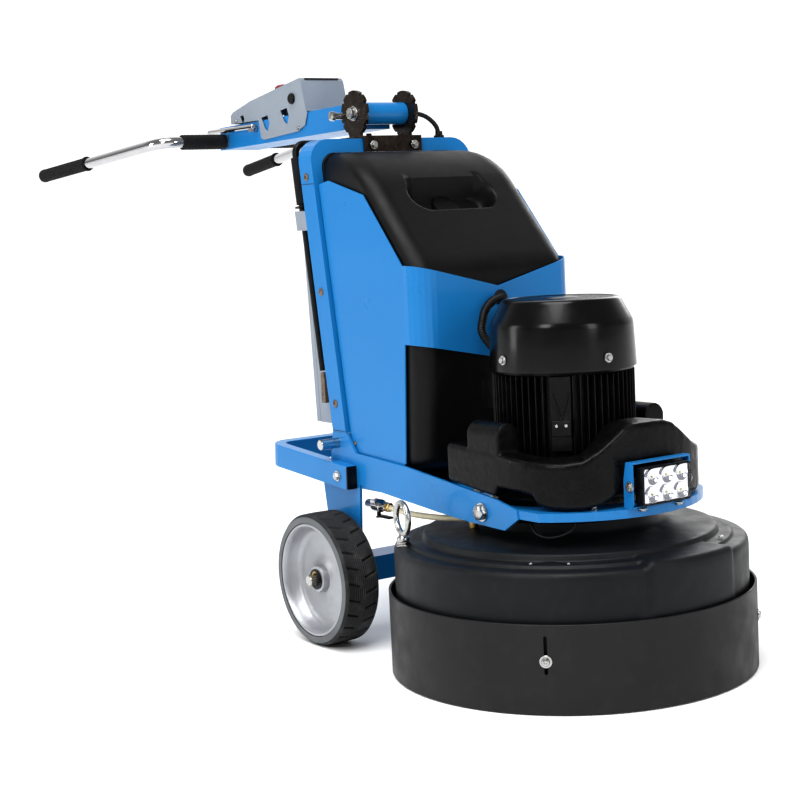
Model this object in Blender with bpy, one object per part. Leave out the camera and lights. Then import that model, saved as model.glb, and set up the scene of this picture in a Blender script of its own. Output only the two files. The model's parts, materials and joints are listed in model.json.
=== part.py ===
"""Walk-behind planetary concrete grinder, modelled as separate pieces.

Units are metres, +Z is up.  Inside this file +X points forward, from the operator to the grinding
head, and x = 0, y = 0 is the axis of the grinding head.  The empty "machine" moves the whole model
so that its origin lies on the floor under the middle of its bounding box.
"""
import math

import bmesh
import bpy
from mathutils import Matrix, Vector

GAP = 0.0003                    # clearance between pieces that touch

# --- overall and grinding head ---
SKIRT_R = 0.360                 # outer radius of the dust skirt
SKIRT_WALL = 0.005
SKIRT_TOP = 0.165
SKIRT_BOTTOM = 0.002
SHROUD_R = 0.346
SHROUD_TOP = 0.2545
SHROUD_BOTTOM = 0.030
DECK_Z = (0.262, 0.276)         # heights of the two raised steps on the shroud
DECK_R = (0.312, 0.285)
NECK_R = 0.150
NECK_TOP = 0.352
PIVOT_Z = 0.331                 # height of the floating head's cross axis
PLANET_N = 3
PLANET_ORBIT = 0.175            # distance of each planet axis from the head axis
SUN_TEETH = 14
PLANET_TEETH = 30
SUN_R = 0.0555                  # tip radii: the teeth clear each other by half a millimetre
PLANET_R = 0.1190
RING_R = 0.2960
TOOL_R = 0.112

# --- motor ---
COWL_TOP_R = 0.1145
COWL_R = 0.1385
COWL_RIM_R = 0.1425
COWL_TOP = 0.7234
COWL_SHOULDER = 0.680
COWL_RIM = 0.590
STATOR_R = 0.119
FIN_R = 0.138
STATOR_BOTTOM = 0.372

# --- wheels ---
WHEEL_X = -0.4826
WHEEL_R = 0.1403
WHEEL_IN = 0.2239
WHEEL_OUT = 0.3065
RIM_R = 0.1199
AXLE_R = 0.0120

# --- frame ---
FRAME_Y = 0.212                 # outer half width of frame and mast
PLATE = 0.006
MAST_SHEET = 0.004
DECK = (0.330, 0.346)           # bottom and top of the nose plate
NOSE_R = 0.262
MAST_BASE = 0.4445
MAST_TOP = 1.065
MAST_DEPTH = 0.0505
MAST_LEAN = 0.1425              # rearward run for each metre of height
MAST_FLANGE = 0.025

# --- tank and wrap cover ---
TANK_Y = 0.196
TANK_FRONT = -0.200
TANK_BOTTOM = 0.386
TANK_TOP = 1.033
TANK_SLOPE = math.atan2(0.163, 0.177)           # of the upper front, from upright
WRAP_Y = 0.2035
WRAP_SHEET = 0.003

# --- handle ---
HUB = (-0.591, 1.121)           # x, z of the handle's tilt axis
DISC_Y = 0.065
DISC_R = 0.050
LOCK_HOLE = (HUB[0] - 0.036, 0.0, HUB[1] - 0.003)
ARM_Y = 0.055
ARM_H = 0.055
ARM_REAR = -1.223
BAR_X = -1.190
BAR_Z = 1.098
BAR_R = 0.0135
GRIP_R = 0.0168
GRIP_START = (-1.519, 0.282, 1.066)
GRIP_END = (-1.737, 0.312, 1.045)
BOX_Y = 0.0585
BOX_SHEET = 0.0022
LID_SLOPE = math.atan2(0.034, 0.231)
STOP_PIVOT = (-1.040, -0.066, 1.118)
TOGGLES = ((-1.128, 0.020, 1.1722), (-0.985, 0.018, 1.1992))
START = (-1.030, -0.022)        # x, y of the start button, the emergency stop and the speed knob
STOP = (-0.955, -0.028)
SPEED = (-0.900, 0.010)

# --- rear grab handle and cabinet ---
GRAB_Y = 0.190
GRAB_BACK = 0.043
GRAB_R = 0.008
CABINET_Y = 0.172
CABINET = (0.452, 0.866)        # bottom and top of the electrical cabinet
DOOR = 0.015

# --- tank filler, in the floor of the recess ---
RECESS = (-0.335, 0.936)        # x, z of the middle of the recess's mouth
RECESS_DEPTH = 0.045

GRIP_TAIL = -1.7391             # x of the rear-most point of the grips
MACHINE_X = (GRIP_TAIL + SKIRT_R) / -2.0        # puts the origin under the middle of the box

BLUE = (0.020, 0.210, 0.560)
BLACK = (0.012, 0.012, 0.014)
RUBBER = (0.055, 0.055, 0.055)
STEEL = (0.62, 0.62, 0.60)
GREY = (0.24, 0.28, 0.33)

# Ballast sections: inner wall x and y, outer wall x and y, underside and top.
WEIGHT_ROWS = [
    (-0.108, 0.160, -0.112, 0.2110, 0.3800, 0.4550),
    (0.000, 0.160, 0.000, 0.2125, 0.3675, 0.4505),
    (0.026, 0.158, 0.042, 0.2125, 0.3640, 0.4480),
    (0.030, 0.157, 0.050, 0.2125, 0.3820, 0.4475),
    (0.092, 0.131, 0.134, 0.1985, 0.3740, 0.4370),
    (0.098, 0.127, 0.144, 0.1950, 0.3580, 0.4365),
    (0.124, 0.102, 0.192, 0.1680, 0.3490, 0.4360),
    (0.138, 0.083, 0.214, 0.1420, 0.3500, 0.4400),
    (0.153, 0.055, 0.2345, 0.0880, 0.3660, 0.4740),
    (0.159, 0.040, 0.2385, 0.0620, 0.3930, 0.4920),
    (0.165, 0.012, 0.2415, 0.0180, 0.4250, 0.4990)]


# ---------------------------------------------------------------- helpers
def material(name, color, rough, metal=0.0):
    mat = bpy.data.materials.get(name)
    if mat is None:
        mat = bpy.data.materials.new(name)
        mat.use_nodes = True
        shader = mat.node_tree.nodes["Principled BSDF"]
        shader.inputs["Base Color"].default_value = (*color, 1.0)
        shader.inputs["Roughness"].default_value = rough
        shader.inputs["Metallic"].default_value = metal
    return mat


def empty(name, at, parent=None):
    node = bpy.data.objects.new(name, None)
    node.empty_display_size = 0.05
    bpy.context.scene.collection.objects.link(node)
    node.parent = parent
    node["at"] = tuple(at)
    origin = Vector(parent["at"]) if parent is not None and "at" in parent else Vector()
    node.location = Vector(at) - origin
    return node


def place(obj, parent, at=(0, 0, 0), turn=(0, 0, 0)):
    """Parent an object to an axis empty, at a position given in the machine's frame."""
    obj.parent = parent
    obj.location = Vector(at) - Vector(parent["at"])
    obj.rotation_euler = turn
    return obj


def finish(name, bm, mat, parent, at=(0, 0, 0), turn=(0, 0, 0), smooth=32.0):
    bmesh.ops.remove_doubles(bm, verts=bm.verts, dist=1e-6)
    bmesh.ops.recalc_face_normals(bm, faces=bm.faces)
    mesh = bpy.data.meshes.new(name)
    bm.to_mesh(mesh)
    bm.free()
    if smooth:
        mesh.shade_smooth()
        mesh.set_sharp_from_angle(angle=math.radians(smooth))
    obj = bpy.data.objects.new(name, mesh)
    bpy.context.scene.collection.objects.link(obj)
    mesh.materials.append(mat)
    return place(obj, parent, at, turn)


def mirrored(points):
    """A closed outline from its upper half, mirrored in its first axis."""
    return list(points) + [(u, -v) for u, v in reversed(points)]


def arc(cx, cy, radius, start, stop, steps):
    """Points on an arc, angles in degrees."""
    return [(cx + radius * math.cos(math.radians(start + (stop - start) * i / steps)),
             cy + radius * math.sin(math.radians(start + (stop - start) * i / steps)))
            for i in range(steps + 1)]


AXES = {"x": (2, 0, 1), "y": (0, 2, 1), "z": (0, 1, 2)}


def spread(u, v, w, turn):
    """Two outline coordinates and a depth, put in the order of x, y and z."""
    values = (u, v, w)
    return tuple(values[k] for k in turn)


def prism(outline, low, high, axis):
    """Extrude a 2-D outline along an axis: 'x' takes (y, z), 'y' takes (x, z), 'z' takes (x, y)."""
    bm = bmesh.new()
    turn = AXES[axis]
    corners = [bm.verts.new(spread(u, v, low, turn)) for u, v in outline]
    face = bm.faces.new(corners)
    step = Vector(spread(0.0, 0.0, high - low, turn))
    grown = bmesh.ops.extrude_face_region(bm, geom=[face])
    moved = [item for item in grown["geom"] if isinstance(item, bmesh.types.BMVert)]
    bmesh.ops.translate(bm, verts=moved, vec=step)
    return bm


def block(low, high, bevel=0.0):
    """A box between two corners, with rounded edges if a bevel is given."""
    bm = bmesh.new()
    bmesh.ops.create_cube(bm, size=1.0)
    size = Vector(high) - Vector(low)
    middle = (Vector(high) + Vector(low)) / 2.0
    bmesh.ops.scale(bm, vec=size, verts=bm.verts)
    bmesh.ops.translate(bm, vec=middle, verts=bm.verts)
    if bevel:
        bmesh.ops.bevel(bm, geom=bm.edges[:], offset=bevel, segments=1, affect="EDGES")
    return bm


def lathe(profile, sides, closed=False, axis="Z"):
    """Spin a profile of (radius, height) points; a closed one makes a ring with a bore."""
    bm = bmesh.new()
    points = [bm.verts.new((r, 0.0, z)) for r, z in profile]
    edges = [bm.edges.new(pair) for pair in zip(points, points[1:])]
    if closed:
        edges.append(bm.edges.new((points[-1], points[0])))
    bmesh.ops.spin(bm, geom=points + edges, axis=(0, 0, 1), cent=(0, 0, 0),
                   angle=math.tau, steps=sides)
    bmesh.ops.remove_doubles(bm, verts=bm.verts, dist=1e-6)
    if axis == "Y":
        bmesh.ops.rotate(bm, verts=bm.verts, matrix=Matrix.Rotation(math.radians(-90), 3, "X"))
    if axis == "X":
        bmesh.ops.rotate(bm, verts=bm.verts, matrix=Matrix.Rotation(math.radians(90), 3, "Y"))
    return bm


def rod(radius, low, high, sides=16, axis="Z", chamfer=0.0):
    if chamfer:
        ends = [(0, low), (radius - chamfer, low), (radius, low + chamfer),
                (radius, high - chamfer), (radius - chamfer, high), (0, high)]
    else:
        ends = [(0, low), (radius, low), (radius, high), (0, high)]
    return lathe(ends, sides, axis=axis)


def tube(name, points, radius, mat, parent, sides_level=2):
    """A round bar or cable along a list of points in the machine's frame."""
    data = bpy.data.curves.new(name, "CURVE")
    data.dimensions = "3D"
    data.bevel_depth = radius
    data.bevel_resolution = sides_level
    data.use_fill_caps = True
    spline = data.splines.new("POLY")
    spline.points.add(len(points) - 1)
    for spot, point in zip(spline.points, points):
        spot.co = (*point, 1.0)
    obj = bpy.data.objects.new(name, data)
    bpy.context.scene.collection.objects.link(obj)
    data.materials.append(mat)
    return place(obj, parent)


def smooth_path(points, count):
    """Evenly spread points on a Catmull-Rom curve through the given points."""
    knots = [Vector(p) for p in points]
    knots = [2 * knots[0] - knots[1]] + knots + [2 * knots[-1] - knots[-2]]
    spans = len(knots) - 3
    fine = []
    for i in range(spans * 24 + 1):
        k, t = min(i // 24, spans - 1), (i - 24 * min(i // 24, spans - 1)) / 24.0
        a, b, c, d = knots[k:k + 4]
        fine.append(0.5 * (2 * b + (c - a) * t + (2 * a - 5 * b + 4 * c - d) * t * t
                           + (3 * b - a - 3 * c + d) * t ** 3))
    lengths = [0.0]
    for p, q in zip(fine, fine[1:]):
        lengths.append(lengths[-1] + (q - p).length)
    path = []
    for i in range(count):
        want = lengths[-1] * i / (count - 1)
        k = max(j for j in range(len(lengths)) if lengths[j] <= want + 1e-12)
        k = min(k, len(fine) - 2)
        span = lengths[k + 1] - lengths[k]
        path.append(fine[k].lerp(fine[k + 1], (want - lengths[k]) / span if span else 0.0))
    return path


def helper(obj):
    """Mark an object as a cutter or an operand, which isn't a piece itself."""
    obj.hide_render = True
    obj.display_type = "WIRE"
    return obj


def combine(obj, bm, operation="DIFFERENCE", at=(0, 0, 0), turn=(0, 0, 0)):
    """Add a Boolean step to an object; the operand is given in the machine's frame."""
    count = len(obj.modifiers)
    tool = finish(f"{obj.name}.tool{count}", bm, obj.data.materials[0], obj.parent, at, turn, smooth=0)
    helper(tool)
    step = obj.modifiers.new(f"{operation.lower()}{count}", "BOOLEAN")
    step.operation = operation
    step.solver = "EXACT"
    step.object = tool
    return obj


def mast_rear(z):
    """x of the mast's rear edge at a height."""
    return -0.515 - MAST_LEAN * (z - 0.445)


def mast_front(z):
    return mast_rear(z) + MAST_DEPTH


def lean(bm):
    """Shear a piece drawn upright on x = 0 so that it follows the mast's rear edge."""
    for vert in bm.verts:
        vert.co.x += mast_rear(vert.co.z)
    return bm


# ---------------------------------------------------------------- frame
def make_frame(machine, blue):
    side = [(-0.516, 0.444), (-0.462, 0.444), (-0.430, 0.404), (-0.250, 0.393), (-0.132, 0.379),
            (0.040, 0.360), (0.104, 0.346), (0.108, 0.330), (0.067, 0.304), (-0.040, 0.307),
            (-0.137, 0.313), (-0.274, 0.325), (-0.420, 0.338), (-0.436, 0.116), (-0.529, 0.116),
            (-0.563, 0.332), (-0.563, 0.372), (-0.530, 0.376)]
    inner = FRAME_Y - PLATE
    frame = finish("chassis_frame", prism(side, -FRAME_Y, -inner, "y"), blue, machine, smooth=0)
    combine(frame, prism(side, inner, FRAME_Y, "y"), "UNION")
    skin = inner + PLATE / 2
    nose = mirrored([(-0.505, skin), (0.105, skin)] + arc(0.0, 0.0, NOSE_R, 52, 4, 8))
    combine(frame, prism(nose, DECK[0], DECK[1], "z"), "UNION")
    combine(frame, block((-0.506, -skin, DECK[1] - 0.002), (-0.500, skin, 0.430)), "UNION")
    combine(frame, block((-0.512, -skin, 0.124), (-0.440, skin, 0.176)), "UNION")
    combine(frame, rod(0.192, 0.30, 0.40, 40))
    combine(frame, block((-0.030, -0.2055, 0.300), (0.030, 0.2055, 0.370)))
    combine(frame, rod(AXLE_R + 0.0005, -0.3, 0.3, 16, "Y"), at=(WHEEL_X, 0, WHEEL_R))
    combine(frame, rod(0.0105, -0.3, 0.3, 16, "Y"), at=(0, 0, PIVOT_Z))
    for sign in (-1, 1):
        y0, y1 = sorted((sign * (FRAME_Y - PLATE / 2), sign * (FRAME_Y + 0.044)))
        combine(frame, rod(0.0105, y0, y1, 14, "Y"), "UNION", at=(-0.498, 0, 0.421))
    return frame


def make_bumper(machine, blue):
    """Rectangular-tube foot bar round the rear, sloping up a little to the back."""
    slope = math.radians(4.6)
    out, wall, height = FRAME_Y + GAP + 0.025, 0.025, 0.050
    rear, front, corner = -0.757, -0.432, 0.045
    outer = [(front, out)] + arc(rear + corner, out - corner, corner, 90, 180, 5)
    inner = [(front, out - wall)] + arc(rear + corner, out - corner, corner - wall, 90, 180, 4)
    bar = prism(mirrored(outer) + mirrored(inner)[::-1], -height / 2, height / 2, "z")
    bmesh.ops.translate(bar, verts=bar.verts, vec=(-front, 0, 0))
    return finish("bumper_bar", bar, blue, machine, (front, 0, 0.354), (0, slope, 0))


def make_mast(machine, blue):
    """Inverted-U channel mast, leaning back, open towards its middle."""
    def band(out, top, radius, foot):
        half = [(out, foot)] + arc(out - radius, top - radius, radius, 0, 90, 6)
        return half + [(-u, v) for u, v in reversed(half)]

    def arch(out, top, radius, inn, inn_top, inn_radius, low, high):
        outline = band(out, top, radius, MAST_BASE) + band(inn, inn_top, inn_radius, MAST_BASE)[::-1]
        return lean(prism(outline, low, high, "x"))

    flange = FRAME_Y - MAST_FLANGE
    mast = finish("mast", arch(FRAME_Y, MAST_TOP, 0.048, flange, MAST_TOP - 0.029, 0.034, 0, MAST_DEPTH),
                  blue, machine)
    sheet = MAST_SHEET
    hollow = arch(FRAME_Y - sheet, MAST_TOP - sheet, 0.045, flange - 0.02, MAST_TOP - 0.055, 0.02,
                  sheet, MAST_DEPTH - sheet)
    for vert in hollow.verts:
        if vert.co.z < MAST_BASE + 1e-4:
            vert.co.z -= 0.02
    return combine(mast, hollow)


def loft(loops):
    """Skin a stack of closed loops of 3-D points, all with the same count, and cap both ends."""
    bm = bmesh.new()
    rows = [[bm.verts.new(p) for p in loop] for loop in loops]
    for low, high in zip(rows, rows[1:]):
        for k in range(len(low)):
            j = (k + 1) % len(low)
            bm.faces.new((low[k], low[j], high[j], high[k]))
    bm.faces.new(rows[0])
    bm.faces.new(rows[-1])
    return bm


def tank_section(z, front, half, rear_half):
    """One level of the tank: round front corners, and a rear that steps in beside the mast."""
    rear, corner = mast_front(z) + 0.003, 0.042
    side = [(rear, rear_half), (rear + 0.032, half)] + arc(front - corner, half - corner, corner, 90, 0, 4)
    return [(x, y, z) for x, y in side] + [(x, -y, z) for x, y in reversed(side)]


def make_tank(machine, black):
    """Moulded water tank: sloped upper front, rounded corners, grab recess and filler."""
    front = TANK_FRONT
    levels = [(TANK_BOTTOM, front - 0.026, 0.012), (TANK_BOTTOM + 0.008, front - 0.013, 0.003),
              (TANK_BOTTOM + 0.022, front - 0.009, 0.0), (0.560, front, 0.0), (0.772, front, 0.0),
              (0.790, front - 0.006, 0.0), (0.808, front - 0.018, 0.0), (0.958, front - 0.154, 0.0),
              (0.985, front - 0.181, 0.002), (1.008, front - 0.212, 0.010), (1.024, front - 0.245, 0.022),
              (1.031, front - 0.275, 0.033), (TANK_TOP, front - 0.300, 0.042)]
    loops = []
    for z, nose, inset in levels:
        half = TANK_Y - inset
        loops.append(tank_section(z, nose, half, half if z < 0.95 else min(half - 0.003, 0.1845)))
    tank = finish("water_tank", loft(loops), black, machine, smooth=35)
    cavity = [(-0.440, 0.392), (-0.222, 0.392), (-0.207, 0.560), (-0.207, 0.760), (-0.300, 0.880),
              (-0.400, 0.900), (-0.500, 0.920)]
    combine(tank, prism(cavity, -TANK_Y + 0.022, TANK_Y - 0.022, "y"))
    mouth = (RECESS[0], 0.0, RECESS[1])
    turn = (0, TANK_SLOPE, 0)
    stadium = arc(0, -0.068, 0.040, 180, 360, 6) + arc(0, 0.068, 0.040, 0, 180, 6)
    combine(tank, prism(stadium, -RECESS_DEPTH, 0.06, "z"), at=mouth, turn=turn)
    combine(tank, rod(0.0245, -0.12, 0.05, 18), at=mouth, turn=turn)
    combine(tank, rod(0.0085, -0.03, 0.03, 12), at=(-0.300, -0.130, TANK_BOTTOM))
    return tank


def make_cap(axis, black, at, turn):
    """Filler cap: a knurled disc with a plug that sits in the filler."""
    profile = [(0, -0.024), (0.0235, -0.024), (0.0235, GAP), (0.031, GAP), (0.031, 0.011),
               (0.028, 0.014), (0, 0.014)]
    return finish("tank_cap", lathe(profile, 20), black, axis, at, turn)


def make_wrap(machine, blue):
    """Folded sheet cover: two side panels joined by a V-shaped band across the front."""
    inner = WRAP_Y - WRAP_SHEET
    panel = [(mast_front(0.404) + 0.006, 0.406), (-0.268, 0.391), (-0.259, 0.397), (-0.243, 0.640),
             (-0.243, 0.797), (-0.370, 0.941), (-0.497, 0.975), (mast_front(0.969) + 0.005, 0.969)]
    wrap = finish("wrap_cover", prism(panel, -WRAP_Y, -inner, "y"), blue, machine, smooth=20)
    combine(wrap, prism(panel, inner, WRAP_Y, "y"), "UNION")
    front, corner = TANK_FRONT + 0.0075, 0.048
    outer = [(-0.262, WRAP_Y)] + arc(front - corner, WRAP_Y - corner, corner, 90, 0, 6)
    thin = corner - WRAP_SHEET
    inside = [(-0.262, inner)] + arc(front - corner, WRAP_Y - corner, thin, 90, 0, 6)
    band = prism(mirrored(outer) + mirrored(inside)[::-1], 0.56, 0.84, "z")
    strap = finish("wrap_cover.band", band, blue, machine, smooth=0)
    helper(strap)
    shape = [(0.25, 0.808), (0.0, 0.745), (-0.25, 0.808), (-0.25, 0.648), (0.0, 0.598), (0.25, 0.648)]
    combine(strap, prism(shape, -0.30, -0.15, "x"), "INTERSECT")
    joint = wrap.modifiers.new("band", "BOOLEAN")
    joint.operation = "UNION"
    joint.solver = "EXACT"
    joint.object = strap
    return wrap


# ---------------------------------------------------------------- wheels
def make_wheels(machine, axes, rubber, steel):
    half = (WHEEL_OUT - WHEEL_IN) / 2
    tread = [(WHEEL_R, -half + 0.012), (WHEEL_R, half - 0.012), (WHEEL_R - 0.004, half - 0.003),
             (WHEEL_R - 0.010, half), (RIM_R + 0.0004, half), (RIM_R + 0.0004, -half),
             (WHEEL_R - 0.010, -half), (WHEEL_R - 0.004, -half + 0.003)]
    face = half - 0.001
    hub = [(AXLE_R + 0.0005, -half + 0.008), (0.024, -half + 0.008), (0.030, 0.000), (0.096, 0.000),
           (0.106, -half + 0.002), (RIM_R, -half + 0.002), (RIM_R, face), (RIM_R - 0.006, face),
           (0.104, 0.008), (0.034, 0.008), (0.025, half - 0.014), (AXLE_R + 0.0005, half - 0.014)]
    middle = (WHEEL_IN + WHEEL_OUT) / 2
    for sign, side in ((-1, "right"), (1, "left")):
        at = (WHEEL_X, sign * middle, WHEEL_R)
        turn = (0, 0, 0) if sign > 0 else (0, 0, math.pi)
        finish(f"wheel_tire_{side}", lathe(tread, 28, True, "Y"), rubber, axes[side], at, turn)
        finish(f"wheel_hub_{side}", lathe(hub, 28, True, "Y"), steel, axes[side], at, turn)
    end = middle + half - 0.0135 + 0.020
    finish("wheel_axle", rod(AXLE_R, -end, end, 16, "Y", 0.002), steel, machine, (WHEEL_X, 0, WHEEL_R))


# ---------------------------------------------------------------- weight, lamp, small frame pieces
def weight_section(inner_x, inner_y, outer_x, outer_y, low, high):
    """One section across the ballast, from its inner wall to its outer one, with eased top edges."""
    length = math.hypot(outer_x - inner_x, outer_y - inner_y)
    profile = [(length - 0.014, high), (length - 0.004, high - 0.004), (length, high - 0.014), (length, low),
               (0, low), (0, high - 0.014), (0.004, high - 0.004), (0.014, high)]
    return [(inner_x + (outer_x - inner_x) * u / length, inner_y + (outer_y - inner_y) * u / length, v)
            for u, v in profile]


def make_weight(machine, black):
    """Cast ballast, a U round the motor: notched under each shoulder, raised and arched over the lamp."""
    sections = [weight_section(*row) for row in WEIGHT_ROWS]
    other = [[(x, -y, z) for x, y, z in section] for section in sections]
    weight = finish("front_weight", loft(other + sections[::-1]), black, machine, smooth=40)
    for sign in (-1, 1):
        hump = [(sign * 0.186 + y, z) for y, z in [(-0.0255, 0.43), (0.0255, 0.43)]
                + arc(0.0, 0.4765, 0.0255, 0, 180, 8)]
        combine(weight, prism(hump, -0.040, 0.055, "x"), "UNION")
    return weight


def make_lamp(machine, axis, blue, black):
    """Work lamp: six round reflectors in a flat housing, on a folded bracket."""
    cheek = [(0.2435, 0.3465), (0.262, 0.3465), (0.267, 0.356), (0.267, 0.428), (0.250, 0.4325),
             (0.2435, 0.400)]
    bracket = finish("lamp_bracket", prism(cheek, -0.0725, -0.0690, "y"), blue, machine, smooth=0)
    combine(bracket, prism(cheek, 0.0690, 0.0725, "y"), "UNION")
    combine(bracket, block((0.2505, -0.0722, 0.4290), (0.267, 0.0722, 0.4325)), "UNION")
    combine(bracket, block((0.2470, -0.0722, 0.3466), (0.2615, 0.0722, 0.3496)), "UNION")
    combine(bracket, rod(0.0058, -0.08, 0.08, 10, "Y"), at=(0.260, 0, 0.388))
    housing = finish("lamp_housing", block((0.2555, -0.060, 0.353), (0.2800, 0.060, 0.423), 0.003), black,
                     axis, smooth=0)
    for row in (-1, 1):
        for column in (-1, 0, 1):
            spot = (0.2801, column * 0.0375, 0.388 + row * 0.017)
            cone = lathe([(0, -0.018), (0.006, -0.018), (0.0155, 0.001), (0, 0.001)], 8, axis="X")
            combine(housing, cone, at=spot)
    for sign in (-1, 1):
        y0, y1 = sorted((sign * 0.055, sign * 0.076))
        combine(housing, rod(0.0052, y0, y1, 10, "Y"), "UNION", at=(0.260, 0, 0.388))
    return bracket


def make_pins(machine, steel):
    for sign, side in ((-1, "right"), (1, "left")):
        bolt = lathe([(0, 0.0), (0.010, 0.0), (0.010, 0.0085), (0.0165, 0.0085), (0.0165, 0.011),
                      (0.0145, 0.011), (0.0145, 0.021), (0, 0.021)], 12, axis="Y")
        turn = (0, 0, 0) if sign > 0 else (0, 0, math.pi)
        finish(f"pivot_bolt_{side}", bolt, steel, machine, (0, sign * (FRAME_Y - 0.0078), PIVOT_Z), turn)


def cabinet_back(z):
    """x of the cabinet's rear face at a height."""
    return -0.626 - 0.045 * (z - CABINET[0])


def make_rear(machine, door_axis, grey, black, dark):
    """Electrical cabinet behind the mast, its door, and the grab handle in its clamps."""
    low, high = CABINET
    back = cabinet_back
    shape = [(mast_rear(low) - 0.001, low), (back(low), low), (back(high), high),
             (mast_rear(high) - 0.001, high)]
    cabinet = finish("cabinet", prism(shape, -CABINET_Y, CABINET_Y, "y"), grey, machine, smooth=0)
    hollow = [(mast_rear(low) - 0.004, low + 0.003), (back(low) - 0.05, low + 0.003),
              (back(high) - 0.05, high - 0.003), (mast_rear(high) - 0.004, high - 0.003)]
    combine(cabinet, prism(hollow, -CABINET_Y + 0.003, CABINET_Y - 0.003, "y"))
    near, far = 0.0008, 0.0008 + DOOR
    door = [(back(low) - near, low + 0.0005), (back(low) - far, low + 0.0005),
            (back(high) - far, high - 0.0005), (back(high) - near, high - 0.0005)]
    panel = finish("cabinet_door", prism(door, -CABINET_Y, CABINET_Y, "y"), grey, door_axis, smooth=0)
    spot = (back(0.66) - far / 2, -CABINET_Y + 0.030, 0.660)
    combine(panel, rod(0.0120, -0.0120, 0.0, 14, "X"), "UNION", at=spot)
    drive = block((-0.618, -0.105, 0.500), (-0.560, 0.105, 0.700), 0.004)
    finish("motor_drive", drive, dark, machine, smooth=0)
    tall = 1.060
    path = []
    start, corner = 0.570, 0.022
    for sign in (-1, 1):
        leg = [(mast_rear(z) - GRAB_BACK, sign * GRAB_Y, z) for z in (start, 0.80, tall - corner)]
        bend = [(mast_rear(tall) - GRAB_BACK, sign * (GRAB_Y - corner * (1 - math.cos(math.radians(a)))),
                 tall - corner + corner * math.sin(math.radians(a))) for a in (30, 60, 90)]
        path += leg + bend if sign < 0 else (leg + bend)[::-1]
    tube("grab_handle", path, GRAB_R, black, machine)
    for sign, side in ((-1, "right"), (1, "left")):
        y0, y1 = sorted((sign * 0.1765, sign * 0.2035))
        body = lean(block((-GRAB_BACK - 0.013, y0, 0.873), (-0.0006, y1, 0.915)))
        clamp = finish(f"grab_clamp_{side}", body, grey, machine, smooth=0)
        bore = rod(GRAB_R + 0.0004, 0.80, 1.00, 16)
        for vert in bore.verts:
            vert.co.x += mast_rear(vert.co.z) - GRAB_BACK
        combine(clamp, bore, at=(0, sign * GRAB_Y, 0))


def make_water(machine, lever_axis, steel, hose_mat, dark):
    """Ball valve under the right side plate, its lever, and the hose to the head."""
    valve = lathe([(0, 0.0), (0.0098, 0.0), (0.0098, 0.026), (0.0125, 0.028), (0.0125, 0.052),
                   (0.0085, 0.054), (0.0085, 0.070), (0.0, 0.070)], 14, axis="X")
    at = (-0.424, -0.190, 0.296)
    body = finish("water_valve", valve, steel, machine, at)
    combine(body, block((-0.400, -0.206 + GAP, 0.292), (-0.372, -0.185, 0.312)), "UNION")
    lever = block((-0.384, -0.197, 0.272), (-0.340, -0.183, 0.2765), 0.0015)
    arm = finish("valve_lever", lever, dark, lever_axis, smooth=0)
    combine(arm, rod(0.0045, 0.270, 0.2832, 10), "UNION", at=(-0.386, -0.190, 0))
    route = [(-0.3535, -0.190, 0.296), (-0.320, -0.188, 0.294), (-0.265, -0.183, 0.290),
             (-0.190, -0.176, 0.292), (-0.130, -0.172, 0.298), (-0.095, -0.168, 0.302)]
    tube("water_hose", smooth_path(route, 14), 0.0062, hose_mat, machine, 2)


def make_cables(machine, dark):
    """Control cable from the handle's hub to the mast, and the motor's cable to the wrap cover."""
    route = [(HUB[0], 0.0810, HUB[1]), (HUB[0], 0.098, 1.1205), (HUB[0] + 0.004, 0.124, 1.112),
             (HUB[0] + 0.010, 0.144, 1.092), (HUB[0] + 0.012, 0.150, MAST_TOP + 0.0025)]
    tube("control_cable", smooth_path(route, 12), 0.0052, dark, machine, 2)
    route = [(-0.150, -0.030, 0.5745), (-0.150, -0.033, 0.605), (-0.158, -0.0560, 0.632),
             (-0.165, -0.0680, 0.656), (-0.167, -0.0640, 0.678), (-0.169, -0.054, 0.700),
             (-0.170, -0.034, 0.7165), (-0.172, -0.012, 0.7215), (-0.179, 0.0, 0.7215),
             (-0.1880, 0.002, 0.7215)]
    tube("motor_cable", smooth_path(route, 18), 0.0085, dark, machine, 2)


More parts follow.
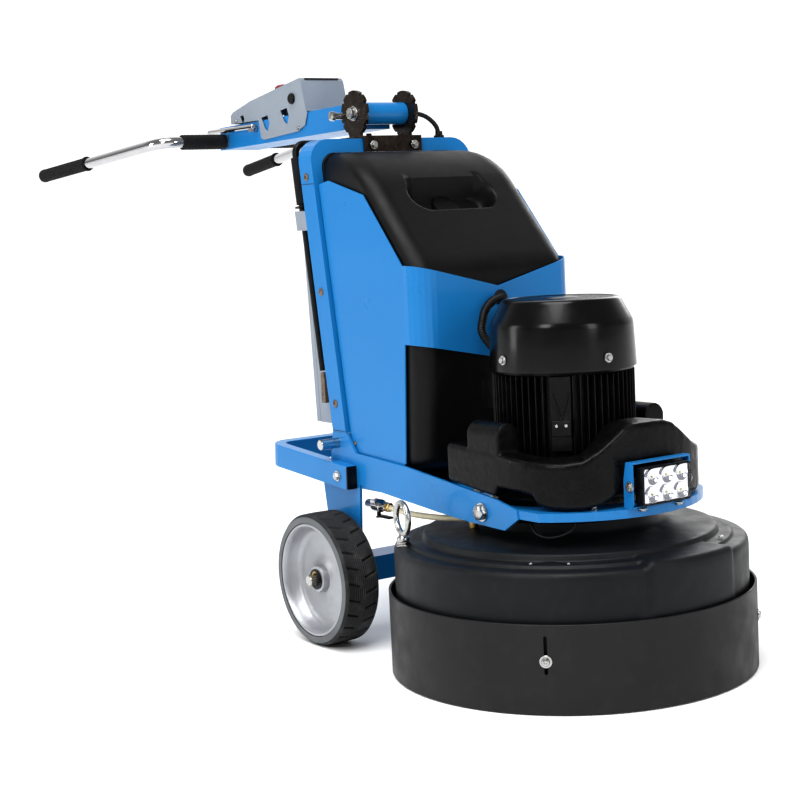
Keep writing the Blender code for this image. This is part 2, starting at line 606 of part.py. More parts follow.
# ---------------------------------------------------------------- grinding head
def make_head(head, skirt_axis, plastic, steel):
    wall = 0.006
    outer = [(SHROUD_R, SHROUD_BOTTOM), (SHROUD_R, SHROUD_TOP - 0.010),
             (SHROUD_R - 0.004, SHROUD_TOP - 0.002),
             (DECK_R[0] + 0.004, SHROUD_TOP), (DECK_R[0], DECK_Z[0]), (DECK_R[1] + 0.004, DECK_Z[0]),
             (DECK_R[1], DECK_Z[1]), (0.185, DECK_Z[1] + 0.008), (0.172, 0.296), (0.172, 0.310),
             (NECK_R + 0.002, 0.310)]
    inner = [(NECK_R + 0.002, 0.302), (0.160, 0.275), (0.275, 0.262), (SHROUD_R - wall, 0.240),
             (SHROUD_R - wall, SHROUD_BOTTOM)]
    shroud = finish("shroud", lathe(outer + inner, 40, True), plastic, head, smooth=30)
    pad = [(0.150, -0.075), (0.335, -0.096), (0.347, -0.060), (0.3525, 0.010), (0.345, 0.070),
           (0.333, 0.108), (0.150, 0.100)]
    combine(shroud, prism(pad, 0.1675, 0.266, "z"), "UNION")
    cavity = rod(SHROUD_R - wall, 0.10, 0.2395, 40)
    combine(shroud, cavity)
    ring = [(SKIRT_R, SKIRT_BOTTOM), (SKIRT_R, SKIRT_TOP), (SKIRT_R - SKIRT_WALL, SKIRT_TOP),
            (SKIRT_R - SKIRT_WALL, SKIRT_BOTTOM)]
    skirt = finish("dust_skirt", lathe(ring, 40, True), plastic, skirt_axis)
    for k in range(4):
        slot = block((SKIRT_R - 0.02, -0.0032, 0.078), (SKIRT_R + 0.02, 0.0032, 0.142))
        combine(skirt, slot, turn=(0, 0, math.radians(-48 + 90 * k)))
    eye = lathe([(0.0238, -0.0040), (0.0300, -0.0062), (0.0350, -0.0040), (0.0365, 0.0), (0.0350, 0.0040),
                 (0.0300, 0.0062), (0.0238, 0.0040)], 20, True, "Y")
    foot = (-0.1640, -0.2838)
    bolt = finish("eye_bolt", eye, steel, head, (foot[0], foot[1], 0.309), (0, 0, math.radians(-12)))
    stem = lathe([(0, 0.0), (0.0100, 0.0), (0.0100, 0.012), (0.0085, 0.0135), (0.0075, 0.0225), (0, 0.0225)],
                 12)
    combine(bolt, stem, "UNION", at=(foot[0], foot[1], SHROUD_TOP + GAP))


def gear_teeth(tip, teeth, low, high):
    """A spur gear as a prism whose teeth end on the tip circle."""
    root = tip - 0.0035
    step = math.tau / teeth
    outline = []
    for k in range(teeth):
        for share, radius in ((-0.30, root), (-0.17, tip), (0.17, tip), (0.30, root)):
            outline.append((radius * math.cos(step * (k + share)), radius * math.sin(step * (k + share))))
    return prism(outline, low, high, "z")


def make_motor(head, rotor, black, gloss, steel, dark):
    """Vertical induction motor: flange with pivot ears, finned stator, fan and cowl."""
    flange = lathe([(0.040, 0.258), (NECK_R, 0.258), (NECK_R, NECK_TOP - 0.004), (NECK_R - 0.006, NECK_TOP),
                    (0.128, STATOR_BOTTOM - GAP), (0.040, STATOR_BOTTOM - GAP)], 28, True)
    mount = finish("motor_flange", flange, dark, head)
    for sign in (-1, 1):
        y0, y1 = sorted((sign * 0.135, sign * 0.2040))
        combine(mount, block((-0.020, y0, PIVOT_Z - 0.018), (0.020, y1, PIVOT_Z + 0.018), 0.004), "UNION")
    count = 24
    outline = []
    for k in range(count):
        step = math.tau / count
        for share, radius in ((-0.28, STATOR_R), (-0.14, FIN_R), (0.14, FIN_R), (0.28, STATOR_R)):
            angle = step * (k + share)
            outline.append((radius * math.cos(angle), radius * math.sin(angle)))
    finned = prism(outline, STATOR_BOTTOM, COWL_RIM - 0.004, "z")
    stator = finish("motor_housing", finned, black, head, smooth=0)
    combine(stator, rod(0.0675, 0.30, 0.565, 28))
    combine(stator, rod(0.0255, 0.50, 0.70, 24))
    combine(stator, block((-0.178, -0.066, 0.500), (-0.125, 0.006, 0.574), 0.005), "UNION")
    cowl = [(COWL_RIM_R, COWL_RIM), (COWL_R, COWL_SHOULDER - 0.004), (COWL_R - 0.003, COWL_SHOULDER + 0.003),
            (COWL_TOP_R + 0.002, COWL_TOP - 0.004), (COWL_TOP_R - 0.003, COWL_TOP), (0.030, COWL_TOP + 0.002),
            (0.030, COWL_TOP - 0.001), (COWL_TOP_R - 0.005, COWL_TOP - 0.003),
            (COWL_R - 0.0055, COWL_SHOULDER - 0.002), (COWL_RIM_R - 0.003, COWL_RIM)]
    finish("motor_cowl", lathe(cowl, 32, True), gloss, head)
    core = lathe([(0, 0.140), (0.0135, 0.140), (0.0135, 0.380), (0.066, 0.380), (0.066, 0.560),
                  (0.0135, 0.560), (0.0135, 0.672), (0, 0.672)], 18)
    shaft = finish("motor_rotor", core, steel, rotor)
    combine(shaft, gear_teeth(SUN_R, SUN_TEETH, 0.156, 0.180), "UNION")
    fan = lathe([(0.0140, 0.625), (0.030, 0.625), (0.030, 0.640), (0.118, 0.640), (0.118, 0.643),
                 (0.030, 0.648), (0.0140, 0.648)], 18, True)
    blades = finish("cooling_fan", fan, dark, rotor)
    for k in range(6):
        blade = block((0.050, -0.0012, 0.6425), (0.112, 0.0012, 0.668))
        combine(blades, blade, "UNION", turn=(0, 0, math.radians(60 * k)))
    race = [(0.0138, 0.5675), (0.0252, 0.5675), (0.0252, 0.5825), (0.0138, 0.5825)]
    finish("motor_bearing", lathe(race, 24, True), steel, head)


def make_drive(carrier, planets, head, steel, dark):
    """Planetary drive: sun on the motor shaft, three planets in a ring, each with a diamond tool."""
    ring = [(RING_R, 0.154), (SHROUD_R - 0.0063, 0.154), (SHROUD_R - 0.0063, 0.182), (RING_R, 0.182)]
    finish("ring_gear", lathe(ring, 40, True), steel, head)
    disc = lathe([(0.012, 0.098), (0.300, 0.098), (0.300, 0.116), (0.012, 0.116)], 36, True)
    plate = finish("planet_carrier", disc, steel, carrier)
    for k, axis in enumerate(planets):
        angle = math.tau * k / PLANET_N + math.radians(60)
        at = (PLANET_ORBIT * math.cos(angle), PLANET_ORBIT * math.sin(angle), 0.0)
        combine(plate, rod(0.0252, 0.05, 0.15, 16), at=at, turn=(0, 0, 0.1))
        wheel = gear_teeth(PLANET_R, PLANET_TEETH, 0.157, 0.179)
        spindle = finish(f"planet_gear_{k + 1}", wheel, steel, axis, at, smooth=0)
        shaft = lathe([(0, 0.034), (0.055, 0.034), (0.055, 0.046), (0.024, 0.052), (0.024, 0.1575),
                       (0, 0.1575)], 16)
        combine(spindle, shaft, "UNION", at=at)
        tool = finish(f"tool_disc_{k + 1}", rod(TOOL_R, 0.013, 0.0337, 24), dark, axis, at)
        for j in range(3):
            turn = math.tau * j / 3
            spot = (at[0] + 0.080 * math.cos(turn), at[1] + 0.080 * math.sin(turn), 0)
            shape = arc(0, 0, 0.020, 0, 300, 5)
            combine(tool, prism(shape, 0.0, 0.0145, "z"), "UNION", at=spot)


# ---------------------------------------------------------------- handle
def make_pivot(machine, pin_axis, dark, bronze, steel):
    """Bracket on the mast's top with two index discs and the lock pin."""
    front = mast_front(MAST_TOP) + 0.010
    flat = block((-0.640, -0.076, MAST_TOP + GAP), (front, 0.076, MAST_TOP + 0.0055))
    plate = finish("handle_bracket", flat, bronze, machine, smooth=0)
    lip = block((mast_front(1.05) + 0.0024, -0.076, 1.036), (front, 0.076, MAST_TOP + 0.005))
    combine(plate, lip, "UNION")
    half, notches = 0.004, 12
    for sign, side in ((-1, "right"), (1, "left")):
        outline = []
        for k in range(notches):
            for share, depth in ((0.0, 0.0), (0.35, 0.0), (0.69, 0.0), (0.78, 0.0055), (0.92, 0.0055)):
                angle = math.tau * (k + share) / notches
                radius = DISC_R - depth
                outline.append((radius * math.cos(angle), radius * math.sin(angle)))
        at = (HUB[0], sign * DISC_Y, HUB[1])
        disc = finish(f"index_disc_{side}", prism(outline, -half, half, "y"), dark, machine, at, smooth=0)
        combine(disc, rod(0.0085, -0.1, 0.1, 16, "Y"), at=(HUB[0], 0, HUB[1]))
        combine(disc, rod(0.0054, -0.1, 0.1, 12, "Y"), at=LOCK_HOLE)
        y0, y1 = sorted((sign * (DISC_Y - half), sign * (DISC_Y + half)))
        foot = block((HUB[0] - 0.022, y0, MAST_TOP + 0.0063), (HUB[0] + 0.022, y1, HUB[1] - 0.030))
        combine(disc, foot, "UNION")
    bolt = lathe([(0, -0.080), (0.0125, -0.080), (0.0125, -0.0695), (0.0082, -0.0695), (0.0082, 0.0695),
                  (0.0125, 0.0695), (0.0125, 0.080), (0, 0.080)], 14, axis="Y")
    finish("hub_bolt", bolt, steel, machine, (HUB[0], 0, HUB[1]))
    pin = lathe([(0, 0.0), (0.005, 0.0), (0.005, 0.0150), (0.0075, 0.0153), (0.0075, 0.034), (0.0105, 0.036),
                 (0.0105, 0.044), (0.006, 0.047), (0, 0.047)], 12, axis="Y")
    spot = (LOCK_HOLE[0], -0.0612, LOCK_HOLE[2])
    finish("lock_pin", pin, steel, pin_axis, spot, (0, 0, math.pi))


def arm_floor(x):
    """Height of the handle channel's underside."""
    return 1.0895 + 0.0195 * (x + 0.646)


def make_channel(arm, blue):
    """Rectangular-tube handle with its hub, and holes for the handlebar and the stop lever."""
    front = -0.634
    shape = [(ARM_REAR, arm_floor(ARM_REAR)), (front, arm_floor(front)),
             (front, arm_floor(front) + ARM_H), (ARM_REAR, arm_floor(ARM_REAR) + ARM_H)]
    channel = finish("handle_arm", prism(shape, -ARM_Y, ARM_Y, "y"), blue, arm, smooth=0)
    wall = 0.003
    open_end, stop = ARM_REAR - 0.05, front - 0.02
    inside = [(open_end, arm_floor(ARM_REAR) + wall), (stop, arm_floor(front) + wall),
              (stop, arm_floor(front) + ARM_H - wall), (open_end, arm_floor(ARM_REAR) + ARM_H - wall)]
    combine(channel, prism(inside, -ARM_Y + wall, ARM_Y - wall, "y"))
    throat = block((front - 0.015, -ARM_Y, HUB[1] - 0.020), (HUB[0], ARM_Y, HUB[1] + 0.018))
    combine(channel, throat, "UNION")
    combine(channel, rod(0.024, -0.0605, 0.0605, 24, "Y"), "UNION", at=(HUB[0], 0, HUB[1]))
    combine(channel, rod(0.0086, -0.1, 0.1, 16, "Y"), at=(HUB[0], 0, HUB[1]))
    combine(channel, rod(BAR_R + 0.0003, -0.1, 0.1, 18, "Y"), at=(BAR_X, 0, BAR_Z))
    combine(channel, rod(0.0070, -0.08, -0.02, 12, "Y"), at=(STOP_PIVOT[0], 0, STOP_PIVOT[2]))
    combine(channel, rod(0.0057, -0.08, -0.050, 12, "Y"), at=LOCK_HOLE)


def on_lid(x):
    """Height of the control box's sloping lid."""
    return 1.220 - math.tan(LID_SLOPE) * (-0.829 - x)


def make_box(arm, grey):
    """Folded sheet control box that straddles the channel, with leaf-shaped windows."""
    side = [(-1.157, 1.138), (-1.157, 1.158), (-1.146, 1.166), (-1.080, 1.181), (-1.060, 1.186),
            (-0.829, 1.220), (-0.822, 1.213), (-0.806, 1.148), (-0.800, 1.138), (-0.812, 1.112),
            (-0.845, 1.100), (-1.002, 1.0905), (-1.014, 1.096), (-1.022, 1.138)]
    box = finish("control_box", prism(side, -BOX_Y, BOX_Y, "y"), grey, arm, smooth=0)
    sheet = BOX_SHEET
    room = [(-1.1545, 1.030), (-1.1545, 1.156), (-1.143, 1.1635), (-1.060, 1.183), (-0.831, 1.2170),
            (-0.825, 1.211), (-0.8085, 1.1435), (-0.790, 1.1435), (-0.790, 1.030)]
    combine(box, prism(room, -BOX_Y + sheet, BOX_Y - sheet, "y"))
    combine(box, rod(0.0070, -0.08, -0.02, 12, "Y"), at=(STOP_PIVOT[0], 0, STOP_PIVOT[2]))
    for (x, y), radius in ((START, 0.0116), (STOP, 0.0095)):
        combine(box, rod(radius, -0.02, 0.02, 14), at=(x, y, on_lid(x)), turn=(0, -LID_SLOPE, 0))
    for x, z, size in ((-1.100, 1.146, 0.010), (-0.990, 1.128, 0.019), (-0.900, 1.138, 0.019)):
        leaf = [(x - size, z + size * 0.8), (x + size * 0.6, z + size), (x + size, z),
                (x + size * 0.5, z - size), (x - size * 0.2, z - size * 0.6)]
        combine(box, prism(leaf, -0.07, 0.07, "y"))


def make_bars(arm, lever_axis, chrome, foam):
    """Chrome handlebar with two grips, and the stop lever beside the channel."""
    start, end = Vector(GRIP_START), Vector(GRIP_END)
    straight = (end - start) / (end.x - start.x)
    corner = start + straight * (BAR_X - start.x)
    before, after = Vector((BAR_X, 0.188, BAR_Z)), start + straight * (BAR_X - 0.052 - start.x)
    bend = [before.lerp(corner, t).lerp(corner.lerp(after, t), t) for t in (0, 0.2, 0.4, 0.6, 0.8, 1)]
    half = bend + [end - straight * (end.x - start.x) * 0.02]
    right = [Vector((p.x, -p.y, p.z)) for p in half]
    tube("handlebar", right[::-1] + half, BAR_R, chrome, arm, 2)
    for sign, side in ((-1, "right"), (1, "left")):
        direction = Vector((end.x - start.x, sign * (end.y - start.y), end.z - start.z))
        length = direction.length
        turn = direction.to_track_quat("Z", "Y").to_euler()
        cup = [(0, length - 0.0035), (BAR_R + GAP, length - 0.0035), (BAR_R + GAP, 0.0), (GRIP_R, 0.0),
               (GRIP_R, length - 0.004), (GRIP_R - 0.004, length), (0, length)]
        grip = finish(f"hand_grip_{side}", lathe(cup, 18), foam, arm,
                      (start.x, sign * start.y, start.z), tuple(turn))
    lever = rod(0.0062, -1.252, -1.030, 12, "X", 0.001)
    stop = finish("stop_lever", lever, chrome, lever_axis, (0, -0.0685, 1.124))
    combine(stop, rod(0.0062, -0.0640, -0.040, 12, "Y"), "UNION", at=(STOP_PIVOT[0], 0, STOP_PIVOT[2]))
    combine(stop, block((-1.047, -0.0735, 1.112), (-1.033, -0.0620, 1.127)), "UNION")


def make_controls(axes, dark, red, green):
    """Two toggles, a start button, an emergency stop and a speed knob on the sloping lid."""
    for k, at in enumerate(TOGGLES):
        stick = lathe([(0, 0.0), (0.0036, 0.0), (0.0048, 0.026), (0.0035, 0.029), (0, 0.029)], 10)
        name = f"toggle_{k + 1}"
        finish(name, stick, dark, axes[name], at, (0, math.radians(-14), 0))
    button = [(0, 0.0), (0.011, 0.0), (0.011, 0.006), (0.008, 0.009), (0, 0.009)]
    mushroom = [(0, 0.0), (0.009, 0.0), (0.009, 0.004), (0.017, 0.0045), (0.017, 0.009), (0.012, 0.013),
                (0, 0.014)]
    knob = [(0, 0.0), (0.012, 0.0), (0.011, 0.011), (0, 0.011)]
    for name, profile, (x, y), mat in (("start_button", button, START, green),
                                       ("emergency_stop", mushroom, STOP, red),
                                       ("speed_knob", knob, SPEED, dark)):
        at = (x, y, on_lid(x) + 2 * GAP)
        finish(name, lathe(profile, 14), mat, axes[name], at, (0, -LID_SLOPE, 0))


def main():
    for old in list(bpy.data.objects):
        bpy.data.objects.remove(old, do_unlink=True)
    blue = material("blue_paint", BLUE, 0.35)
    plastic = material("black_plastic", BLACK, 0.60)
    gloss = material("black_gloss", BLACK, 0.22)
    dark = material("dark_steel", (0.03, 0.03, 0.03), 0.5, 0.6)
    bronze = material("bronzed_steel", (0.05, 0.035, 0.025), 0.3, 0.9)
    rubber = material("grey_rubber", RUBBER, 0.85)
    foam = material("black_foam", BLACK, 0.9)
    steel = material("zinc_steel", STEEL, 0.35, 1.0)
    chrome = material("chrome", (0.75, 0.75, 0.75), 0.08, 1.0)
    grey = material("grey_paint", GREY, 0.45)
    hose = material("cream_hose", (0.70, 0.66, 0.50), 0.4)
    red = material("red_button", (0.6, 0.02, 0.02), 0.4)
    green = material("green_button", (0.02, 0.35, 0.08), 0.4)

    world = empty("world", (0, 0, 0))
    machine = empty("machine", (0, 0, 0), world)
    machine.location = (MACHINE_X, 0, 0)
    wheels = {}
    for side in ("left", "right"):
        wheels[side] = empty(f"axis_wheel_{side}", (WHEEL_X, 0, WHEEL_R), machine)
    head = empty("axis_head", (0, 0, PIVOT_Z), machine)
    skirt_axis = empty("axis_skirt", (0, 0, SKIRT_TOP), head)
    rotor = empty("axis_rotor", (0, 0, 0.4), head)
    carrier = empty("axis_carrier", (0, 0, 0.107), head)
    planets = []
    for k in range(PLANET_N):
        angle = math.tau * k / PLANET_N + math.radians(60)
        spot = (PLANET_ORBIT * math.cos(angle), PLANET_ORBIT * math.sin(angle), 0.05)
        planets.append(empty(f"axis_planet_{k + 1}", spot, carrier))
    lamp_axis = empty("axis_lamp", (0.260, 0, 0.388), machine)
    arm = empty("axis_handle", (HUB[0], 0, HUB[1]), machine)
    pin_axis = empty("axis_lock_pin", LOCK_HOLE, machine)
    stop_axis = empty("axis_stop_lever", STOP_PIVOT, arm)
    door_axis = empty("axis_door", (cabinet_back(0.66) - 0.0008 - DOOR, CABINET_Y, 0.66), machine)
    valve_axis = empty("axis_valve", (-0.386, -0.190, 0.275), machine)
    depth = RECESS_DEPTH - GAP
    cap_at = (RECESS[0] - depth * math.sin(TANK_SLOPE), 0.0, RECESS[1] - depth * math.cos(TANK_SLOPE))
    cap_axis = empty("axis_cap", cap_at, machine)
    controls = {"toggle_1": TOGGLES[0], "toggle_2": TOGGLES[1]}
    for name, (x, y) in (("start_button", START), ("emergency_stop", STOP), ("speed_knob", SPEED)):
        controls[name] = (x, y, on_lid(x) + 2 * GAP)
    control_axes = {name: empty(f"axis_{name}", at, arm) for name, at in controls.items()}

    make_frame(machine, blue)
    make_bumper(machine, blue)
    make_mast(machine, blue)
    make_tank(machine, plastic)
    make_cap(cap_axis, plastic, cap_at, (0, TANK_SLOPE, 0))
    make_wrap(machine, blue)
    make_wheels(machine, wheels, rubber, steel)
    make_weight(machine, plastic)
    make_lamp(machine, lamp_axis, blue, plastic)
    make_pins(machine, steel)
    make_rear(machine, door_axis, grey, plastic, dark)
    make_water(machine, valve_axis, steel, hose, dark)
    make_cables(machine, dark)
    make_head(head, skirt_axis, plastic, steel)
    make_motor(head, rotor, plastic, gloss, steel, dark)
    make_drive(carrier, planets, head, steel, dark)
    make_pivot(machine, pin_axis, dark, bronze, steel)
    make_channel(arm, blue)
    make_box(arm, grey)
    make_bars(arm, stop_axis, chrome, foam)
    make_controls(control_axes, dark, red, green)


main()
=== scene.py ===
"""Looks of the walk-behind planetary floor grinder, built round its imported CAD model.

Positions are in metres in the machine's own frame: +X forward, +Y to the machine's left, z = 0 on the
floor, and x = 0, y = 0 on the axis of the grinding head.  SHIFT takes them to the model's frame.
"""
import json
import math

import bmesh
import bpy
from mathutils import Euler, Matrix, Vector

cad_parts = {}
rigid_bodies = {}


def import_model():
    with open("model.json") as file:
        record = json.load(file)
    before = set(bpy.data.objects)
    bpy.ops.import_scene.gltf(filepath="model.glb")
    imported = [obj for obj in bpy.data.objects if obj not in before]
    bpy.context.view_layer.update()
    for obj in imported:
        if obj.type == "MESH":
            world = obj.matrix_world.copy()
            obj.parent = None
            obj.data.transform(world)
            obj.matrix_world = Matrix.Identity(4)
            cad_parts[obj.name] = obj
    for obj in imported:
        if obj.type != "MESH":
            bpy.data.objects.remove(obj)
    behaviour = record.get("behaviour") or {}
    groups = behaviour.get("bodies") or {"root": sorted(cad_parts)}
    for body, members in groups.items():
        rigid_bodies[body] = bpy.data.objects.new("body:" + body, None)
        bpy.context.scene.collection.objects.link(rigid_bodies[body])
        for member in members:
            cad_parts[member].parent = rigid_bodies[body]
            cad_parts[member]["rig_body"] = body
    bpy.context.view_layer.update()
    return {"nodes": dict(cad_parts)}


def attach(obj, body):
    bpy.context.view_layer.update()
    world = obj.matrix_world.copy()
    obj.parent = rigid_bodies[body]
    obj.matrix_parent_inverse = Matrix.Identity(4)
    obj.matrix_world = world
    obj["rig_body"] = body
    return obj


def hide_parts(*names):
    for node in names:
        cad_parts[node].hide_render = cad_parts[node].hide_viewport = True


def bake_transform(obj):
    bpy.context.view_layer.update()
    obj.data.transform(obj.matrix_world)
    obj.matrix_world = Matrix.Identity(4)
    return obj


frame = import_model()
NODES = frame["nodes"]

SHIFT = Vector((0.68955, 0.0, 0.0))         # the machine's frame to the model's
SIDES = (("right", -1), ("left", 1))        # names and signs of y

SKIRT_R = 0.360                             # grinding head
SHROUD_R = 0.346
PIVOT_Z = 0.331                             # height of the head's cross axis
EYE_R, EYE_BAR = 0.0302, 0.0060             # lifting eye: middle of the ring, half its bar
EYE_STEPS, EYE_SIDES = 64, 20
BOSS_AT = -43.0                             # angle of the boss on the motor casing
LAMP_X, LAMP_Z = 0.260, 0.388               # lamp's tilt axis

WHEEL_X, WHEEL_R = -0.4826, 0.1403
WHEEL_IN, WHEEL_OUT = 0.2239, 0.3065        # |y| of a wheel's two faces
RIM_R = 0.1199
FRAME_Y = 0.212                             # outer half width of the frame and the mast
MAST_TOP = 1.065
VALVE_Y, VALVE_Z = -0.190, 0.296            # axis of the water valve
GRAB_Y, GRAB_GAP = 0.190, 0.043             # grab bar: |y| of its legs, distance behind the mast

TANK_Y = 0.196                              # half width of the tank
TANK_FRONT = -0.200
TANK_SLOPE = math.atan2(0.163, 0.177)       # lean of its upper front, from level
MOUTH = Vector((-0.335, 0.0, 0.936))        # middle of the hand recess, on the slope
MOUTH_DEPTH = 0.0447                        # down to the filler cap's seat

HUB = (-0.591, 1.121)                       # x and z of the handle's hub
BAR_X, BAR_Z, BAR_R = -1.190, 1.098, 0.0135
GRIP_START = Vector((-1.519, 0.282, 1.066)) # left hand grip
GRIP_END = Vector((-1.737, 0.312, 1.045))
GRIP_RIBS = 34
LID = math.atan2(0.034, 0.231)              # slope of the control box's lid
FLOOR = 40.0                                # half width of the floor


def mast_rear(z):
    """x of the mast's rear edge at a height."""
    return -0.515 - 0.1425 * (z - 0.445)


def mast_front(z):
    """x of the mast's front edge at a height."""
    return mast_rear(z) + 0.0505


# ---------------------------------------------------------------- materials
def shader_of(name, rough, metal=0.0, coat=0.0, color=(0.5, 0.5, 0.5)):
    """A new material and its Principled shader."""
    mat = bpy.data.materials.new(name)
    mat.use_nodes = True
    shader = mat.node_tree.nodes["Principled BSDF"]
    shader.inputs["Base Color"].default_value = (*color, 1.0)
    shader.inputs["Roughness"].default_value = rough
    shader.inputs["Metallic"].default_value = metal
    shader.inputs["Coat Weight"].default_value = coat
    shader.inputs["Coat Roughness"].default_value = 0.06
    return mat, shader


def noise(tree, scale, detail=3.0):
    """A noise texture in the piece's own metres."""
    where = tree.nodes.new("ShaderNodeTexCoord")
    tex = tree.nodes.new("ShaderNodeTexNoise")
    tex.inputs["Scale"].default_value = scale
    tex.inputs["Detail"].default_value = detail
    tree.links.new(where.outputs["Object"], tex.inputs["Vector"])
    return tex.outputs["Fac"]


def ramp(tree, source, stops):
    """A colour ramp over (position, colour) stops."""
    node = tree.nodes.new("ShaderNodeValToRGB")
    tree.links.new(source, node.inputs["Fac"])
    items = node.color_ramp.elements
    for k, (spot, color) in enumerate(stops):
        item = items[k] if k < 2 else items.new(spot)
        item.position = spot
        item.color = (*color, 1.0)
    return node.outputs["Color"]


def blend_colors(tree, factor, a, b):
    """Mix two colours, each a colour or a socket."""
    node = tree.nodes.new("ShaderNodeMix")
    node.data_type = "RGBA"
    for value, key in ((factor, 0), (a, 6), (b, 7)):
        if isinstance(value, tuple):
            node.inputs[key].default_value = (*value, 1.0)
        else:
            tree.links.new(value, node.inputs[key])
    return node.outputs[2]


def grade(tree, source, low, high, start=0.3, stop=0.7):
    """Map a texture value to a range."""
    node = tree.nodes.new("ShaderNodeMapRange")
    node.inputs["From Min"].default_value = start
    node.inputs["From Max"].default_value = stop
    node.inputs["To Min"].default_value = low
    node.inputs["To Max"].default_value = high
    tree.links.new(source, node.inputs["Value"])
    return node.outputs["Result"]


def bump(tree, shader, source, strength, distance):
    """Relief from a texture, on top of any that the shader has."""
    node = tree.nodes.new("ShaderNodeBump")
    node.inputs["Strength"].default_value = strength
    node.inputs["Distance"].default_value = distance
    tree.links.new(source, node.inputs["Height"])
    old = shader.inputs["Normal"].links
    if old:
        tree.links.new(old[0].from_socket, node.inputs["Normal"])
    tree.links.new(node.outputs["Normal"], shader.inputs["Normal"])


def surface(name, color, rough, metal=0.0, coat=0.0, shine=0.5, spread=0.18, patch=9.0, wear=None,
            wear_at=0.62, fine=(900.0, 0.2, 0.0003), coarse=None, rough_spread=0.10, dust=None):
    """A procedural finish: mottled colour and roughness, one or two scales of relief, wear and dust."""
    mat, shader = shader_of(name, rough, metal, coat, color)
    shader.inputs["Specular IOR Level"].default_value = shine
    tree = mat.node_tree
    broad = noise(tree, patch, 4.0)
    dark = tuple(c * (1.0 - spread) for c in color)
    light = tuple(min(1.0, c * (1.0 + spread)) for c in color)
    shade = ramp(tree, broad, [(0.30, dark), (0.70, light)])
    if wear:
        edge = tree.nodes.new("ShaderNodeNewGeometry").outputs["Pointiness"]
        worn = grade(tree, edge, 0.0, 1.0, wear_at - 0.06, wear_at + 0.06)
        spots = grade(tree, noise(tree, 90.0, 5.0), 0.0, 1.0, 0.42, 0.62)
        both = tree.nodes.new("ShaderNodeMath")
        both.operation = "MULTIPLY"
        tree.links.new(worn, both.inputs[0])
        tree.links.new(spots, both.inputs[1])
        shade = blend_colors(tree, both.outputs[0], shade, wear)
    if dust:
        specks = grade(tree, noise(tree, 35.0, 8.0), 0.0, dust[1], 0.52, 0.80)
        shade = blend_colors(tree, specks, shade, dust[0])
    tree.links.new(shade, shader.inputs["Base Color"])
    gloss = grade(tree, noise(tree, patch * 4.0, 5.0), max(0.02, rough - rough_spread), rough + rough_spread)
    tree.links.new(gloss, shader.inputs["Roughness"])
    if coarse:
        bump(tree, shader, noise(tree, coarse[0], 4.0), coarse[1], coarse[2])
    if fine:
        bump(tree, shader, noise(tree, fine[0], 2.0), fine[1], fine[2])
    return mat


BLUE = surface("blue_paint", (0.0125, 0.184, 0.470), 0.30, coat=0.12, shine=0.25, spread=0.04, patch=2.0,
               fine=(1200.0, 0.03, 0.0002), rough_spread=0.03)
PLASTIC = surface("black_plastic", (0.0045, 0.0045, 0.0050), 0.44, shine=0.20, spread=0.25, patch=6.0,
                  fine=(1500.0, 0.35, 0.0004), rough_spread=0.05, dust=((0.10, 0.10, 0.10), 0.03))
SHROUD = surface("shroud_plastic", (0.0072, 0.0082, 0.0096), 0.46, shine=0.22, spread=0.2, patch=7.0,
                 fine=(1100.0, 0.45, 0.0005), rough_spread=0.06, dust=((0.16, 0.16, 0.16), 0.03))
SKIRT = surface("skirt_band", (0.017, 0.0165, 0.0175), 0.48, shine=0.22, spread=0.2, patch=5.0,
                fine=(500.0, 0.12, 0.0003), coarse=(14.0, 0.25, 0.004), dust=((0.20, 0.20, 0.20), 0.025))
GLOSS = surface("black_gloss", (0.0030, 0.0030, 0.0034), 0.22, coat=0.08, shine=0.22, spread=0.3, patch=6.0,
                fine=(260.0, 0.10, 0.0004), rough_spread=0.05)
BLACK = surface("black_paint", (0.0035, 0.0035, 0.0040), 0.36, shine=0.2, spread=0.3, patch=10.0,
                fine=(500.0, 0.15, 0.0004), dust=((0.12, 0.12, 0.12), 0.10))
CAST = surface("cast_black", (0.0030, 0.0030, 0.0034), 0.34, shine=0.16, spread=0.35, patch=14.0,
               coarse=(85.0, 0.45, 0.0022), fine=(420.0, 0.30, 0.0007), wear=(0.10, 0.09, 0.075),
               wear_at=0.64, dust=((0.12, 0.12, 0.12), 0.03))
RUBBER = surface("tyre_rubber", (0.022, 0.022, 0.023), 0.72, shine=0.3, spread=0.25, patch=22.0,
                 fine=(700.0, 0.25, 0.0005), dust=((0.16, 0.155, 0.145), 0.25))
FLANK = surface("tyre_flank", (0.125, 0.135, 0.142), 0.70, shine=0.3, spread=0.12, patch=14.0,
                fine=(500.0, 0.15, 0.0003), dust=((0.30, 0.29, 0.27), 0.20))
FOAM = surface("grip_foam", (0.006, 0.006, 0.007), 0.80, shine=0.3, spread=0.3, patch=40.0,
               fine=(1600.0, 0.5, 0.0006))
CABLE = surface("cable_sheath", (0.006, 0.006, 0.0065), 0.45, shine=0.3, spread=0.3, patch=30.0,
                fine=(900.0, 0.2, 0.0003))
GREY = surface("grey_paint", (0.235, 0.270, 0.320), 0.40, spread=0.05, patch=5.0, coat=0.15,
               fine=(520.0, 0.12, 0.0004), rough_spread=0.06, dust=((0.10, 0.10, 0.10), 0.10))
STEEL = surface("zinc_steel", (0.46, 0.46, 0.45), 0.27, 1.0, spread=0.08, patch=60.0,
                fine=(700.0, 0.04, 0.0001), rough_spread=0.05)
HUB_STEEL = surface("hub_steel", (0.40, 0.41, 0.43), 0.46, 0.85, spread=0.06, patch=18.0,
                    fine=(350.0, 0.25, 0.0003), rough_spread=0.10)
TOOL = surface("tool_steel", (0.20, 0.19, 0.17), 0.55, 0.8, spread=0.4, patch=50.0, fine=(600.0, 0.4, 0.0006))
